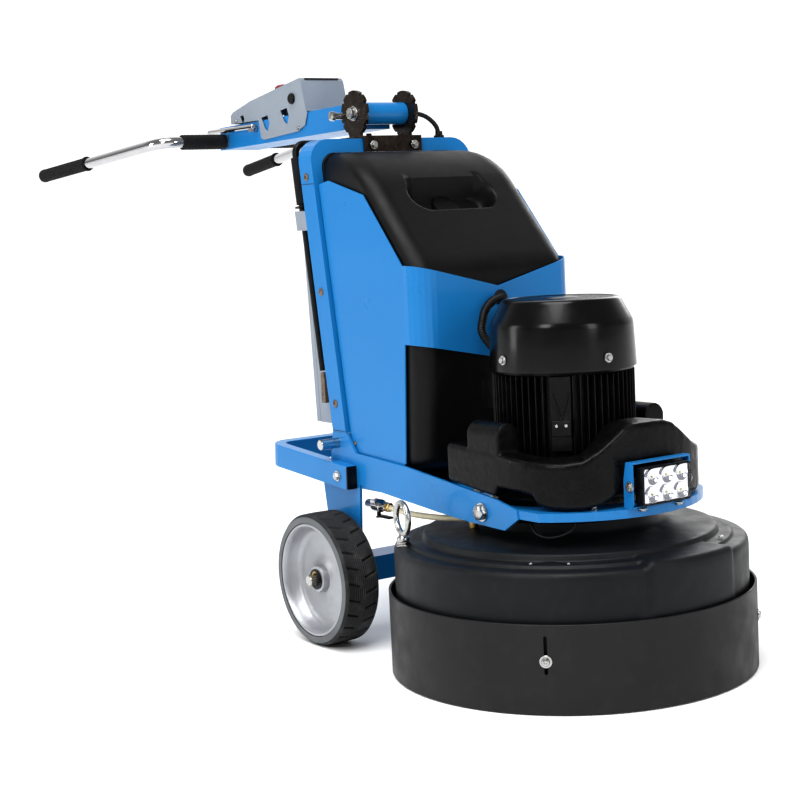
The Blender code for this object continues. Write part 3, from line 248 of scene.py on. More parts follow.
CHROME = surface("chrome_plate", (0.52, 0.52, 0.53), 0.10, 1.0, spread=0.05, patch=30.0,
                 fine=(90.0, 0.03, 0.0002), rough_spread=0.03)
BRONZE = surface("bronzed_steel", (0.034, 0.024, 0.018), 0.20, 0.60, spread=0.5, patch=40.0,
                 fine=(500.0, 0.08, 0.0003))
BRASS = surface("brass", (0.62, 0.42, 0.16), 0.30, 1.0, spread=0.2, patch=80.0, fine=(800.0, 0.1, 0.0002))
RUSTY = surface("dulled_screw", (0.17, 0.13, 0.10), 0.50, 0.7, spread=0.5, patch=160.0,
                fine=(900.0, 0.4, 0.0003))
HOSE = surface("cream_hose", (0.72, 0.66, 0.46), 0.35, spread=0.12, patch=30.0, fine=(900.0, 0.1, 0.0002))
RED = surface("red_plastic", (0.20, 0.010, 0.010), 0.35, spread=0.1, patch=40.0, fine=(900.0, 0.1, 0.0002))
GREEN = surface("green_plastic", (0.012, 0.20, 0.045), 0.35, spread=0.1, patch=40.0,
                fine=(900.0, 0.1, 0.0002))
MIRROR = surface("lamp_reflector", (0.90, 0.90, 0.92), 0.10, 1.0, spread=0.04, patch=60.0,
                 fine=(300.0, 0.08, 0.0003), rough_spread=0.04)


def make_lens():
    """Clear plastic of the lamp's front."""
    mat, shader = shader_of("lamp_lens", 0.05, color=(0.95, 0.96, 1.0))
    shader.inputs["Transmission Weight"].default_value = 1.0
    shader.inputs["IOR"].default_value = 1.30
    tree = mat.node_tree
    gloss = grade(tree, noise(tree, 120.0, 4.0), 0.02, 0.08)
    tree.links.new(gloss, shader.inputs["Roughness"])
    return mat


LENS = make_lens()
LED = surface("led_chip", (0.85, 0.75, 0.25), 0.45, spread=0.25, patch=300.0)

SLOTS = {"blue_paint": (BLUE,), "black_plastic": (PLASTIC, SHROUD, SKIRT), "black_gloss": (GLOSS,),
         "black_paint": (BLACK,), "cast_iron": (CAST,), "tyre": (RUBBER, FLANK), "grip_foam": (FOAM,),
         "cable_rubber": (CABLE,), "grey_paint": (GREY, LED), "steel": (STEEL, HUB_STEEL, RUSTY),
         "chrome": (CHROME, BRASS, MIRROR), "cream_hose": (HOSE,)}
SLOT_OF = {mat.name: slot for slot, mats in SLOTS.items() for mat in mats}


# ---------------------------------------------------------------- mesh helpers
def arc(cx, cy, radius, start, stop, steps):
    """Points on an arc, angles in degrees."""
    points = []
    for i in range(steps + 1):
        angle = math.radians(start + (stop - start) * i / steps)
        points.append((cx + radius * math.cos(angle), cy + radius * math.sin(angle)))
    return points


def place(name, data):
    """A new object in the scene for a mesh, a light or a camera."""
    obj = bpy.data.objects.new(name, data)
    bpy.context.scene.collection.objects.link(obj)
    return obj


def add(name, bm, mat, body, at=(0, 0, 0), turn=(0, 0, 0), smooth=35.0, bevel=0.0, slot=None,
        stands_for=(), weld=1e-6):
    """Make a piece from a bmesh in the machine's frame and let it ride on a body.

    The slot argument is not used: a slot is worked out from the finish, unless another is given, but it is
    not stored on the piece.
    """
    if weld:
        bmesh.ops.remove_doubles(bm, verts=bm.verts, dist=weld)
    bmesh.ops.recalc_face_normals(bm, faces=bm.faces)
    moved(bm, Vector(at) + SHIFT, turn)
    mesh = bpy.data.meshes.new(name)
    bm.to_mesh(mesh)
    bm.free()
    mesh.shade_smooth()
    if smooth < 180:
        mesh.set_sharp_from_angle(angle=math.radians(smooth))
    mesh.materials.append(mat)
    obj = place(name, mesh)
    if bevel:
        soften(obj, bevel)
    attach(obj, body)
    slot = slot or SLOT_OF.get(mat.name)
    if stands_for:
        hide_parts(*stands_for)
    return obj


def soften(obj, width):
    """Round the sharp edges of a piece."""
    step = obj.modifiers.new("rounded_edges", "BEVEL")
    step.width = width
    step.segments = 2
    step.limit_method = "ANGLE"
    step.angle_limit = math.radians(32.0)
    step.harden_normals = True
    step.use_clamp_overlap = True
    return obj


def spread(u, v, w, axis):
    """A point from its place (u, v) in an outline and its place w along an axis."""
    return {"x": (w, u, v), "y": (u, w, v), "z": (u, v, w)}[axis]


def prism(outline, low, high, axis):
    """Extrude a 2-D outline along an axis: 'x' takes (y, z), 'y' takes (x, z), 'z' takes (x, y)."""
    bm = bmesh.new()
    bottom = [bm.verts.new(spread(u, v, low, axis)) for u, v in outline]
    top = [bm.verts.new(spread(u, v, high, axis)) for u, v in outline]
    bm.faces.new(bottom)
    bm.faces.new(top)
    for k in range(len(outline)):
        j = (k + 1) % len(outline)
        bm.faces.new((bottom[k], bottom[j], top[j], top[k]))
    return bm


def box(low, high):
    """A block between two corners."""
    return prism([(low[0], low[1]), (high[0], low[1]), (high[0], high[1]), (low[0], high[1])],
                 low[2], high[2], "z")


def skin(bm, rows, closed=False, caps=False):
    """Quads between neighbouring rows of vertices, each row a closed loop."""
    for here, there in list(zip(rows, rows[1:])) + ([(rows[-1], rows[0])] if closed else []):
        for k in range(len(here)):
            j = (k + 1) % len(here)
            bm.faces.new((here[k], here[j], there[j], there[k]))
    if caps:
        bm.faces.new(rows[0])
        bm.faces.new(rows[-1])
    return bm


def lathe(profile, sides, closed=False, axis="Z"):
    """Spin (radius, height) points round an axis; points on the axis become one vertex."""
    bm = bmesh.new()
    rows = []
    for radius, height in profile:
        if radius < 1e-7:
            rows.append([bm.verts.new((0, 0, height))] * sides)
            continue
        rows.append([bm.verts.new((radius * math.cos(math.tau * k / sides),
                                   radius * math.sin(math.tau * k / sides), height)) for k in range(sides)])
    pairs = list(zip(rows, rows[1:])) + ([(rows[-1], rows[0])] if closed else [])
    for low, high in pairs:
        for k in range(sides):
            j = (k + 1) % sides
            corners = []
            for vert in (low[k], low[j], high[j], high[k]):
                if vert not in corners:
                    corners.append(vert)
            if len(corners) > 2:
                bm.faces.new(corners)
    if axis == "Y":
        bmesh.ops.rotate(bm, verts=bm.verts, matrix=Matrix.Rotation(math.radians(-90), 3, "X"))
    if axis == "X":
        bmesh.ops.rotate(bm, verts=bm.verts, matrix=Matrix.Rotation(math.radians(90), 3, "Y"))
    return bm


def rod(radius, low, high, sides=24, axis="Z", chamfer=0.0006):
    """A round bar with chamfered ends."""
    chamfer = min(chamfer, radius * 0.4, (high - low) * 0.4)
    return lathe([(0, low), (radius - chamfer, low), (radius, low + chamfer), (radius, high - chamfer),
                  (radius - chamfer, high), (0, high)], sides, axis=axis)


def merge(target, *others):
    """Join bmeshes into the first one."""
    for other in others:
        mesh = bpy.data.meshes.new("part")
        other.to_mesh(mesh)
        other.free()
        target.from_mesh(mesh)
        bpy.data.meshes.remove(mesh)
    return target


def moved(bm, at=(0, 0, 0), turn=(0, 0, 0)):
    """Turn a bmesh about the origin, then shift it."""
    bmesh.ops.transform(bm, matrix=Matrix.Translation(at) @ Euler(turn).to_matrix().to_4x4(), verts=bm.verts)
    return bm


def smooth_path(points, count):
    """Evenly spread points on a Catmull-Rom curve through the given points."""
    knots = [Vector(p) for p in points]
    knots = [2 * knots[0] - knots[1]] + knots + [2 * knots[-1] - knots[-2]]
    fine = []
    for a, b, c, d in zip(knots, knots[1:], knots[2:], knots[3:]):
        for i in range(24):
            t = i / 24.0
            fine.append(0.5 * (2 * b + (c - a) * t + (2 * a - 5 * b + 4 * c - d) * t * t
                               + (3 * b - a - 3 * c + d) * t ** 3))
    fine.append(knots[-2].copy())
    lengths = [0.0]
    for p, q in zip(fine, fine[1:]):
        lengths.append(lengths[-1] + (q - p).length)
    path, k = [], 0
    for i in range(count):
        want = lengths[-1] * i / (count - 1)
        while k < len(fine) - 2 and lengths[k + 1] < want:
            k += 1
        span = lengths[k + 1] - lengths[k]
        path.append(fine[k].lerp(fine[k + 1], (want - lengths[k]) / span if span else 0.0))
    return path


def pipe(points, radius, sides=20, ribs=0.0, pitch=0.0):
    """A round bar, cable or corrugated conduit along points, with flat ends."""
    bm = bmesh.new()
    rows, normal, along = [], None, 0.0
    for k, point in enumerate(points):
        before, after = points[max(k - 1, 0)], points[min(k + 1, len(points) - 1)]
        direction = (after - before).normalized()
        if normal is None:
            normal = direction.orthogonal().normalized()
        normal = (normal - direction * normal.dot(direction)).normalized()
        other = direction.cross(normal)
        if k:
            along += (point - points[k - 1]).length
        size = radius + (ribs * math.sin(math.tau * along / pitch) if ribs else 0.0)
        rows.append([bm.verts.new(point + size * (normal * math.cos(math.tau * i / sides)
                                                  + other * math.sin(math.tau * i / sides)))
                     for i in range(sides)])
    return skin(bm, rows, caps=True)


def hex_head(radius, height, washer=0.0):
    """A hexagon bolt head standing on z = 0, on a washer if its radius is given."""
    base = 0.0015 if washer else 0.0
    head = lathe([(0, base), (radius * 0.97, base), (radius, base + 0.0006), (radius, base + height - 0.0012),
                  (radius * 0.86, base + height), (0, base + height)], 6)
    if washer:
        merge(head, rod(washer, 0.0, base, 28, chamfer=0.0003))
    return head


def screw_head(radius, height):
    """A domed screw head with a round recess, standing on z = 0."""
    return lathe([(0, 0), (radius, 0), (radius, height * 0.35), (radius * 0.85, height * 0.75),
                  (radius * 0.42, height), (radius * 0.30, height * 0.45), (0, height * 0.45)], 24)


def facing(direction):
    """Euler angles that turn +Z to a direction."""
    return tuple(Vector(direction).to_track_quat("Z", "Y").to_euler())


def around(radius, degrees, z):
    """A point at an angle round the head's axis, and the turn that makes +Z point outwards there."""
    angle = math.radians(degrees)
    out = Vector((math.cos(angle), math.sin(angle), 0))
    return out * radius + Vector((0, 0, z)), facing(out)


def cut(obj, bm, turn):
    """Take a bmesh away from a piece, at once."""
    bmesh.ops.recalc_face_normals(bm, faces=bm.faces)
    moved(bm, SHIFT, turn)
    mesh = bpy.data.meshes.new("cutter")
    bm.to_mesh(mesh)
    bm.free()
    tool = place("cutter", mesh)
    step = obj.modifiers.new("cut", "BOOLEAN")
    step.operation = "DIFFERENCE"
    step.solver = "EXACT"
    step.object = tool
    bpy.context.view_layer.update()
    graph = bpy.context.evaluated_depsgraph_get()
    done = bpy.data.meshes.new_from_object(obj.evaluated_get(graph))
    obj.modifiers.remove(step)
    obj.data = done
    bpy.data.objects.remove(tool)
    return obj


def keep(node, mat, bevel=0.0):
    """Show a CAD node as it is, with its material and, if asked, rounded edges."""
    obj = NODES[node]
    obj.data.materials.clear()
    obj.data.materials.append(mat)
    if bevel:
        weld = obj.modifiers.new("weld", "WELD")
        weld.merge_threshold = 0.00002
        flat = obj.modifiers.new("flat", "DECIMATE")
        flat.decimate_type = "DISSOLVE"
        flat.angle_limit = math.radians(1.0)
        soften(obj, bevel)
    return obj


# ---------------------------------------------------------------- grinding head
def ring_wall(first, second, weight, sides):
    """Skin of revolution whose profile changes with the angle: weight(angle, z) mixes two profiles."""
    bm = bmesh.new()
    rows = []
    for i in range(sides):
        angle = math.tau * i / sides
        row = []
        for (r0, z0), (r1, z1) in zip(first, second):
            w = weight(angle, z0)
            radius, height = r0 + (r1 - r0) * w, z0 + (z1 - z0) * w
            row.append(bm.verts.new((radius * math.cos(angle), radius * math.sin(angle), height)))
        rows.append(row)
    return skin(bm, rows, closed=True)


def ease(x):
    """Smooth step from 0 to 1."""
    x = min(1.0, max(0.0, x))
    return x * x * (3.0 - 2.0 * x)


def make_shroud():
    """Moulded shroud: stepped deck, and a raised pad at the front that runs down over the side."""
    plain = [(SHROUD_R, 0.030), (SHROUD_R, 0.120), (SHROUD_R, 0.168), (SHROUD_R, 0.200), (SHROUD_R, 0.235),
             (0.3455, 0.2445), (0.3435, 0.2500), (0.3395, 0.2535), (0.3340, 0.2548), (0.3200, 0.2552),
             (0.3172, 0.2560), (0.3156, 0.2580), (0.3144, 0.2606), (0.3120, 0.2620), (0.3050, 0.2622),
             (0.2920, 0.2626), (0.2895, 0.2634), (0.2880, 0.2660), (0.2870, 0.2730), (0.2855, 0.2752),
             (0.2820, 0.2762), (0.2700, 0.2768), (0.2300, 0.2796), (0.1900, 0.2836), (0.1780, 0.2870),
             (0.1725, 0.2960), (0.1720, 0.3100), (0.1520, 0.3100)]
    pad = [(SHROUD_R, 0.030), (SHROUD_R, 0.120), (0.3500, 0.168), (0.3525, 0.200), (0.3525, 0.243),
           (0.3522, 0.2530), (0.3505, 0.2595), (0.3470, 0.2636), (0.3420, 0.2652), (0.3320, 0.2656),
           (0.3280, 0.2657), (0.3240, 0.2658), (0.3200, 0.2659), (0.3150, 0.2660), (0.3050, 0.2662),
           (0.2925, 0.2664), (0.2900, 0.2668), (0.2882, 0.2685), (0.2870, 0.2735), (0.2855, 0.2754),
           (0.2820, 0.2762), (0.2700, 0.2768), (0.2300, 0.2796), (0.1900, 0.2836), (0.1780, 0.2870),
           (0.1725, 0.2960), (0.1720, 0.3100), (0.1520, 0.3100)]
    inner = [(0.1520, 0.302), (0.160, 0.2755), (0.275, 0.2610), (0.330, 0.2440), (0.3402, 0.236),
             (0.3402, 0.030)]

    def share(angle, z):
        """How far the wall has gone over from plain to pad."""
        degrees = math.degrees(angle)
        degrees = degrees - 360.0 if degrees > 180.0 else degrees
        flare = 5.0 * (1.0 - ease((z - 0.150) / 0.055))
        left, right = -16.5 - flare, 18.5 + 0.4 * flare
        return ease((degrees - left + 0.9) / 1.8) * ease((right - degrees + 0.9) / 1.8)

    bm = ring_wall(plain + inner, pad + inner, share, 360)
    add("shroud_shell", bm, SHROUD, "head", smooth=50, stands_for=["shroud"])
    for k, (x, y, z) in enumerate(((-0.298, -0.123, 0.2554), (0.262, -0.166, 0.2554), (0.268, 0.146, 0.2658),
                                   (-0.100, 0.315, 0.2554), (-0.300, 0.130, 0.2554), (0.100, 0.300, 0.2554))):
        add(f"deck_screw_{k + 1}", screw_head(0.0052, 0.0030), STEEL, "head", (x, y, z))
    strap = [Vector((0.183 + 0.046 * t, -0.243 + 0.043 * t, 0.2628 + 0.004 * math.sin(math.pi * t)))
             for t in (0.0, 0.2, 0.4, 0.6, 0.8, 1.0)]
    add("deck_strap", pipe(strap, 0.0012, 10), BLACK, "head")
    for k, t in enumerate((-0.04, 1.04)):
        add(f"strap_stud_{k + 1}", screw_head(0.0034, 0.0026), STEEL, "head",
            (0.183 + 0.046 * t, -0.243 + 0.043 * t, 0.2626))


def make_skirt():
    """Flexible band that hangs round the shroud, held by four screws in upright slots."""
    profile = [(SKIRT_R - 0.0006, 0.002), (SKIRT_R, 0.0026), (SKIRT_R, 0.1642), (SKIRT_R - 0.0008, 0.165),
               (SKIRT_R - 0.0042, 0.165), (SKIRT_R - 0.005, 0.1642), (SKIRT_R - 0.005, 0.0026),
               (SKIRT_R - 0.0044, 0.002)]
    band = add("skirt_band", lathe(profile, 240, True), SKIRT, "skirt",
               stands_for=["dust_skirt"])
    for k in range(4):
        degrees = -48 + 90 * k
        slot_shape = arc(0, 0.032, 0.0032, 0, 180, 8) + arc(0, -0.032, 0.0032, 180, 360, 8)
        tool = prism([(u, v + 0.110) for u, v in slot_shape], SKIRT_R - 0.02, SKIRT_R + 0.02, "x")
        cut(band, tool, (0, 0, math.radians(degrees)))
        spot, out = around(SKIRT_R + 0.0002, degrees, 0.099)
        washer = rod(0.0115, 0.0, 0.0016, 32, chamfer=0.0004)
        merge(washer, moved(screw_head(0.0078, 0.0042), (0, 0, 0.0016)))
        add(f"skirt_screw_{k + 1}", washer, STEEL, "head", spot, out)
        add(f"skirt_stud_{k + 1}", rod(0.0028, -0.014, 0.0, 12), STEEL, "head", spot, out)
    band.data.shade_smooth()
    band.data.set_sharp_from_angle(angle=math.radians(35))


def make_eye_bolt():
    """Forged lifting eye with its collar, nut and washer."""
    foot = (-0.1640, -0.2838, 0.0)
    bm = bmesh.new()
    rows = []
    for i in range(EYE_STEPS):
        a = math.tau * i / EYE_STEPS
        row = []
        for j in range(EYE_SIDES):
            b = math.tau * j / EYE_SIDES
            radius = EYE_R + EYE_BAR * math.cos(b)
            row.append(bm.verts.new((radius * math.cos(a), EYE_BAR * math.sin(b), radius * math.sin(a))))
        rows.append(row)
    ring = moved(skin(bm, rows, closed=True), (0, 0, 0.309))
    collar = lathe([(0, 0.2640), (0.0120, 0.2640), (0.0126, 0.2652), (0.0126, 0.2700), (0.0112, 0.2722),
                    (0.0082, 0.2760), (0, 0.2780)], 32)
    nut = moved(hex_head(0.0130, 0.0080, 0.0), (0, 0, 0.2562))
    base = lathe([(0, 0.2553), (0.0150, 0.2553), (0.0152, 0.2558), (0.0150, 0.2566), (0, 0.2566)], 32)
    turned = moved(merge(ring, collar, nut, base), foot, (0, 0, math.radians(-12)))
    add("eye_bolt_forging", turned, STEEL, "head", stands_for=["eye_bolt"], weld=0)


def make_neck():
    """Bolts of the pivot flange and the lamp's cable that loops below the frame."""
    for k in range(8):
        spot, out = around(0.150, 22.5 + 45 * k, 0.322)
        add(f"neck_bolt_{k + 1}", hex_head(0.0085, 0.006), BLACK if k else STEEL, "head", spot, out,
            slot="black_paint")
    route = [(0.185, -0.142, 0.329), (0.190, -0.150, 0.314), (0.176, -0.168, 0.302), (0.154, -0.182, 0.298),
             (0.128, -0.186, 0.303), (0.110, -0.182, 0.317), (0.106, -0.178, 0.329)]
    add("lamp_cable_loop", pipe(smooth_path(route, 40), 0.0024, 12), CABLE, "root")


# ---------------------------------------------------------------- motor
def perforated(radius, pitch, hole, thick, inner=0.0):
    """A flat round plate full of hexagonal holes, centred on z = 0."""
    bm = bmesh.new()
    cells = {}
    reach = int(radius / pitch) + 2
    side = pitch / math.sqrt(3)

    def corner(x, y):
        """The vertex that neighbouring cells share."""
        key = (round(x / pitch * 60), round(y / pitch * 60))
        if key not in cells:
            cells[key] = bm.verts.new((x, y, 0))
        return cells[key]

    for row in range(-reach, reach + 1):
        for column in range(-reach, reach + 1):
            x = (column + (row % 2) * 0.5) * pitch
            y = row * side * 1.5
            if math.hypot(x, y) > radius - pitch * 0.62 or math.hypot(x, y) < inner:
                continue
            outer = [corner(x + side * math.cos(math.radians(30 + 60 * k)),
                            y + side * math.sin(math.radians(30 + 60 * k))) for k in range(6)]
            small = [bm.verts.new((x + hole * math.cos(math.radians(30 + 60 * k)),
                                   y + hole * math.sin(math.radians(30 + 60 * k)), 0)) for k in range(6)]
            for k in range(6):
                j = (k + 1) % 6
                bm.faces.new((outer[k], outer[j], small[j], small[k]))
    grown = bmesh.ops.extrude_face_region(bm, geom=bm.faces[:])
    lifted = [item for item in grown["geom"] if isinstance(item, bmesh.types.BMVert)]
    bmesh.ops.translate(bm, verts=lifted, vec=(0, 0, thick))
    return bm


def make_cowl():
    """Pressed fan cowl with a perforated top, held by four zinc screws."""
    outside = [(0.1425, 0.5900), (0.1427, 0.5930), (0.1388, 0.6690), (0.1384, 0.6745), (0.1372, 0.6790),
               (0.1352, 0.6830), (0.1175, 0.7165), (0.1158, 0.7196), (0.1138, 0.7218), (0.1105, 0.7230),
               (0.1060, 0.7236)]
    inside = [(r - 0.0022, z - (0.0 if z < 0.68 else 0.0016)) for r, z in reversed(outside)]
    inside[-1] = (0.1403, 0.5900)
    shell = lathe(outside + inside, 128, True)
    add("cowl_shell", shell, GLOSS, "head", smooth=40, stands_for=["motor_cowl"])
    grille = merge(perforated(0.1070, 0.0074, 0.0029, 0.0012, 0.030),
                   lathe([(0.1025, 0), (0.1085, 0), (0.1085, 0.0014), (0.1025, 0.0014)], 96, True),
                   lathe([(0, 0), (0.034, 0), (0.034, 0.0014), (0.028, 0.0030), (0, 0.0034)], 48))
    add("cowl_grille", grille, GLOSS, "head", (0, 0, 0.7216), smooth=30, weld=0)
    for k in range(4):
        spot, out = around(0.1416, -93 + 90 * k, 0.6125)
        add(f"cowl_screw_{k + 1}", hex_head(0.0062, 0.0050, 0.0092), STEEL, "head", spot, out)
        stand = lathe([(0.0100, -0.003), (0.0118, -0.001), (0.0122, 0.0006), (0, 0.0006)], 24)
        add(f"cowl_dimple_{k + 1}", stand, GLOSS, "head", spot, out)


def make_stator():
    """Cast motor casing with thin cooling fins, two boss blocks and the terminal box."""
    low, high = 0.3725, 0.5865
    core = lathe([(0.1185, low), (0.1185, high), (0.0675, high), (0.0675, low)], 96, True)
    for k in range(60):
        angle = math.tau * (k + 0.5) / 60
        at_boss = abs((math.degrees(angle) - BOSS_AT + 180) % 360 - 180) < 10
        at_terminals = abs(math.degrees(angle) - 180) < 26
        if at_boss or at_terminals:
            continue
        fin = [(0.116, -0.0019), (0.1372, -0.0011), (0.1380, 0.0), (0.1372, 0.0011), (0.116, 0.0019)]
        merge(core, moved(prism(fin, low + 0.002, high - 0.004, "z"), turn=(0, 0, angle)))
    ends = lathe([(0.1180, high - 0.002), (0.1365, high - 0.002), (0.1390, high + 0.002),
                  (0.1390, high + 0.0065), (0.1180, high + 0.0065)], 96, True)
    foot = lathe([(0.1180, low + 0.006), (0.1330, low + 0.006), (0.1390, low), (0.1390, low - 0.0004),
                  (0.1180, low - 0.0004)], 96, True)
    add("stator_casing", merge(core, ends, foot), BLACK, "head", smooth=28, stands_for=["motor_housing"],
        weld=0)
    front = math.radians(BOSS_AT)
    block = box((0.112, -0.020, 0.440), (0.1365, 0.020, 0.583))
    add("casing_boss", block, BLACK, "head", turn=(0, 0, front), bevel=0.0025)
    rib = bmesh.new()
    for lean_by in (-0.30, 0.30):
        bar = box((0.1366, -0.0018, -0.028), (0.1412, 0.0018, 0.028))
        merge(rib, moved(bar, (0, -0.0078 * math.copysign(1, lean_by), 0.5255), (lean_by, 0, 0)))
    merge(rib, box((0.1366, -0.0185, 0.470), (0.1412, 0.0185, 0.500)))
    add("casing_lug", rib, BLACK, "head", turn=(0, 0, front), bevel=0.0015, weld=0)
    for k, side in enumerate((-0.009, 0.009)):
        add(f"lug_hole_{k + 1}", rod(0.0030, 0.0, 0.0012, 16), STEEL, "head",
            (0.1414 * math.cos(front) - side * math.sin(front),
             0.1414 * math.sin(front) + side * math.cos(front), 0.4900),
            facing((math.cos(front), math.sin(front), 0)))
    add("terminal_box", box((-0.178, -0.066, 0.500), (-0.120, 0.006, 0.574)), BLACK, "head", bevel=0.004)
    gland = lathe([(0, 0.574), (0.0125, 0.574), (0.0125, 0.580), (0.0105, 0.582), (0.0105, 0.590),
                   (0, 0.590)], 20)
    add("cable_gland", gland, BLACK, "head", (-0.150, -0.030, 0))


def make_conduit():
    """Corrugated conduit from the terminal box up and over to the wrap cover."""
    route = [(-0.150, -0.030, 0.582), (-0.150, -0.033, 0.605), (-0.158, -0.056, 0.632),
             (-0.165, -0.068, 0.656), (-0.167, -0.064, 0.678), (-0.169, -0.054, 0.700),
             (-0.170, -0.034, 0.7165), (-0.172, -0.012, 0.7215), (-0.179, 0.0, 0.7215),
             (-0.1890, 0.002, 0.7215)]
    bm = pipe(smooth_path(route, 190), 0.0084, 18, ribs=0.0009, pitch=0.0042)
    obj = add("motor_conduit", bm, CABLE, "root", smooth=80, stands_for=["motor_cable"])
    loosen(obj)
    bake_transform(obj)
    flange = lathe([(0, 0), (0.0155, 0), (0.0155, 0.003), (0.0105, 0.006), (0, 0.006)], 24)
    add("conduit_flange", flange, CABLE, "root", (-0.1925, 0.003, 0.7215), facing((1, 0, 0)))


def loosen(obj):
    """Free a piece from its body."""
    obj.parent = None
    obj.matrix_world = Matrix.Identity(4)
    if "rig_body" in obj:
        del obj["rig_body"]
    return obj


# ---------------------------------------------------------------- ballast weight
def weight_stations(side):
    """Cross-sections of half of the U: inner point, outer point, underside height, top height."""
    rows = [(-0.108, 0.160, -0.112, 0.2050, 0.3810, 0.4500), (-0.100, 0.160, -0.104, 0.2105, 0.3790, 0.4550),
            (-0.050, 0.160, -0.050, 0.2120, 0.3735, 0.4530), (0.000, 0.160, 0.000, 0.2125, 0.3675, 0.4505),
            (0.026, 0.158, 0.042, 0.2125, 0.3640, 0.4480), (0.030, 0.157, 0.050, 0.2125, 0.3820, 0.4475),
            (0.055, 0.150, 0.085, 0.2100, 0.3800, 0.4430), (0.078, 0.140, 0.112, 0.2050, 0.3780, 0.4395),
            (0.092, 0.131, 0.134, 0.1985, 0.3740, 0.4370), (0.098, 0.127, 0.144, 0.1950, 0.3580, 0.4365),
            (0.110, 0.117, 0.165, 0.1860, 0.3500, 0.4360), (0.124, 0.102, 0.192, 0.1680, 0.3488, 0.4362),
            (0.138, 0.083, 0.214, 0.1420, 0.3495, 0.4400), (0.146, 0.069, 0.227, 0.1140, 0.3540, 0.4560),
            (0.153, 0.055, 0.2345, 0.0880, 0.3660, 0.4740), (0.159, 0.040, 0.2385, 0.0620, 0.3930, 0.4920),
            (0.163, 0.026, 0.2405, 0.0400, 0.4150, 0.4985), (0.165, 0.010, 0.2415, 0.0150, 0.4250, 0.4995)]
    if side < 0:
        return [(xi, -yi, xo, -yo, lo, hi) for xi, yi, xo, yo, lo, hi in rows]
    return [row for row in reversed(rows)]


def make_weight():
    """Rough cast ballast: a U round the motor whose front arches over the lamp."""
    bm = bmesh.new()
    loops = []
    radius = 0.009
    for xi, yi, xo, yo, low, high in weight_stations(-1) + weight_stations(1):
        inner, outer = Vector((xi, yi, 0)), Vector((xo, yo, 0))
        across = outer - inner
        width = across.length
        across.normalize()
        loop = []
        for u, v, start in ((width - radius, high - radius, 0), (radius, high - radius, 90),
                            (0.006, low + 0.006, 180), (width - 0.008, low + 0.008, 270)):
            size = radius if start < 180 else (0.006 if start == 180 else 0.008)
            for step in range(4):
                angle = math.radians(start + 90 * step / 3)
                point = inner + across * (u + size * math.cos(angle))
                loop.append(bm.verts.new((point.x, point.y, v + size * math.sin(angle))))
        loops.append(loop)
    skin(bm, loops, caps=True)
    for sign in (-1, 1):
        hump = [(sign * 0.186 + y, z) for y, z in [(-0.0255, 0.42), (0.0255, 0.42)]
                + arc(0.0, 0.4765, 0.0255, 0, 180, 20)]
        merge(bm, prism(hump, -0.040, 0.055, "x"))
    weight = add("ballast_casting", bm, CAST, "root", smooth=180, stands_for=["front_weight"], weld=0)
    remesh = weight.modifiers.new("one_skin", "REMESH")
    remesh.mode = "VOXEL"
    remesh.voxel_size = 0.0030
    remesh.use_smooth_shade = True
    even = weight.modifiers.new("even", "SMOOTH")
    even.factor = 0.5
    even.iterations = 3
    return weight


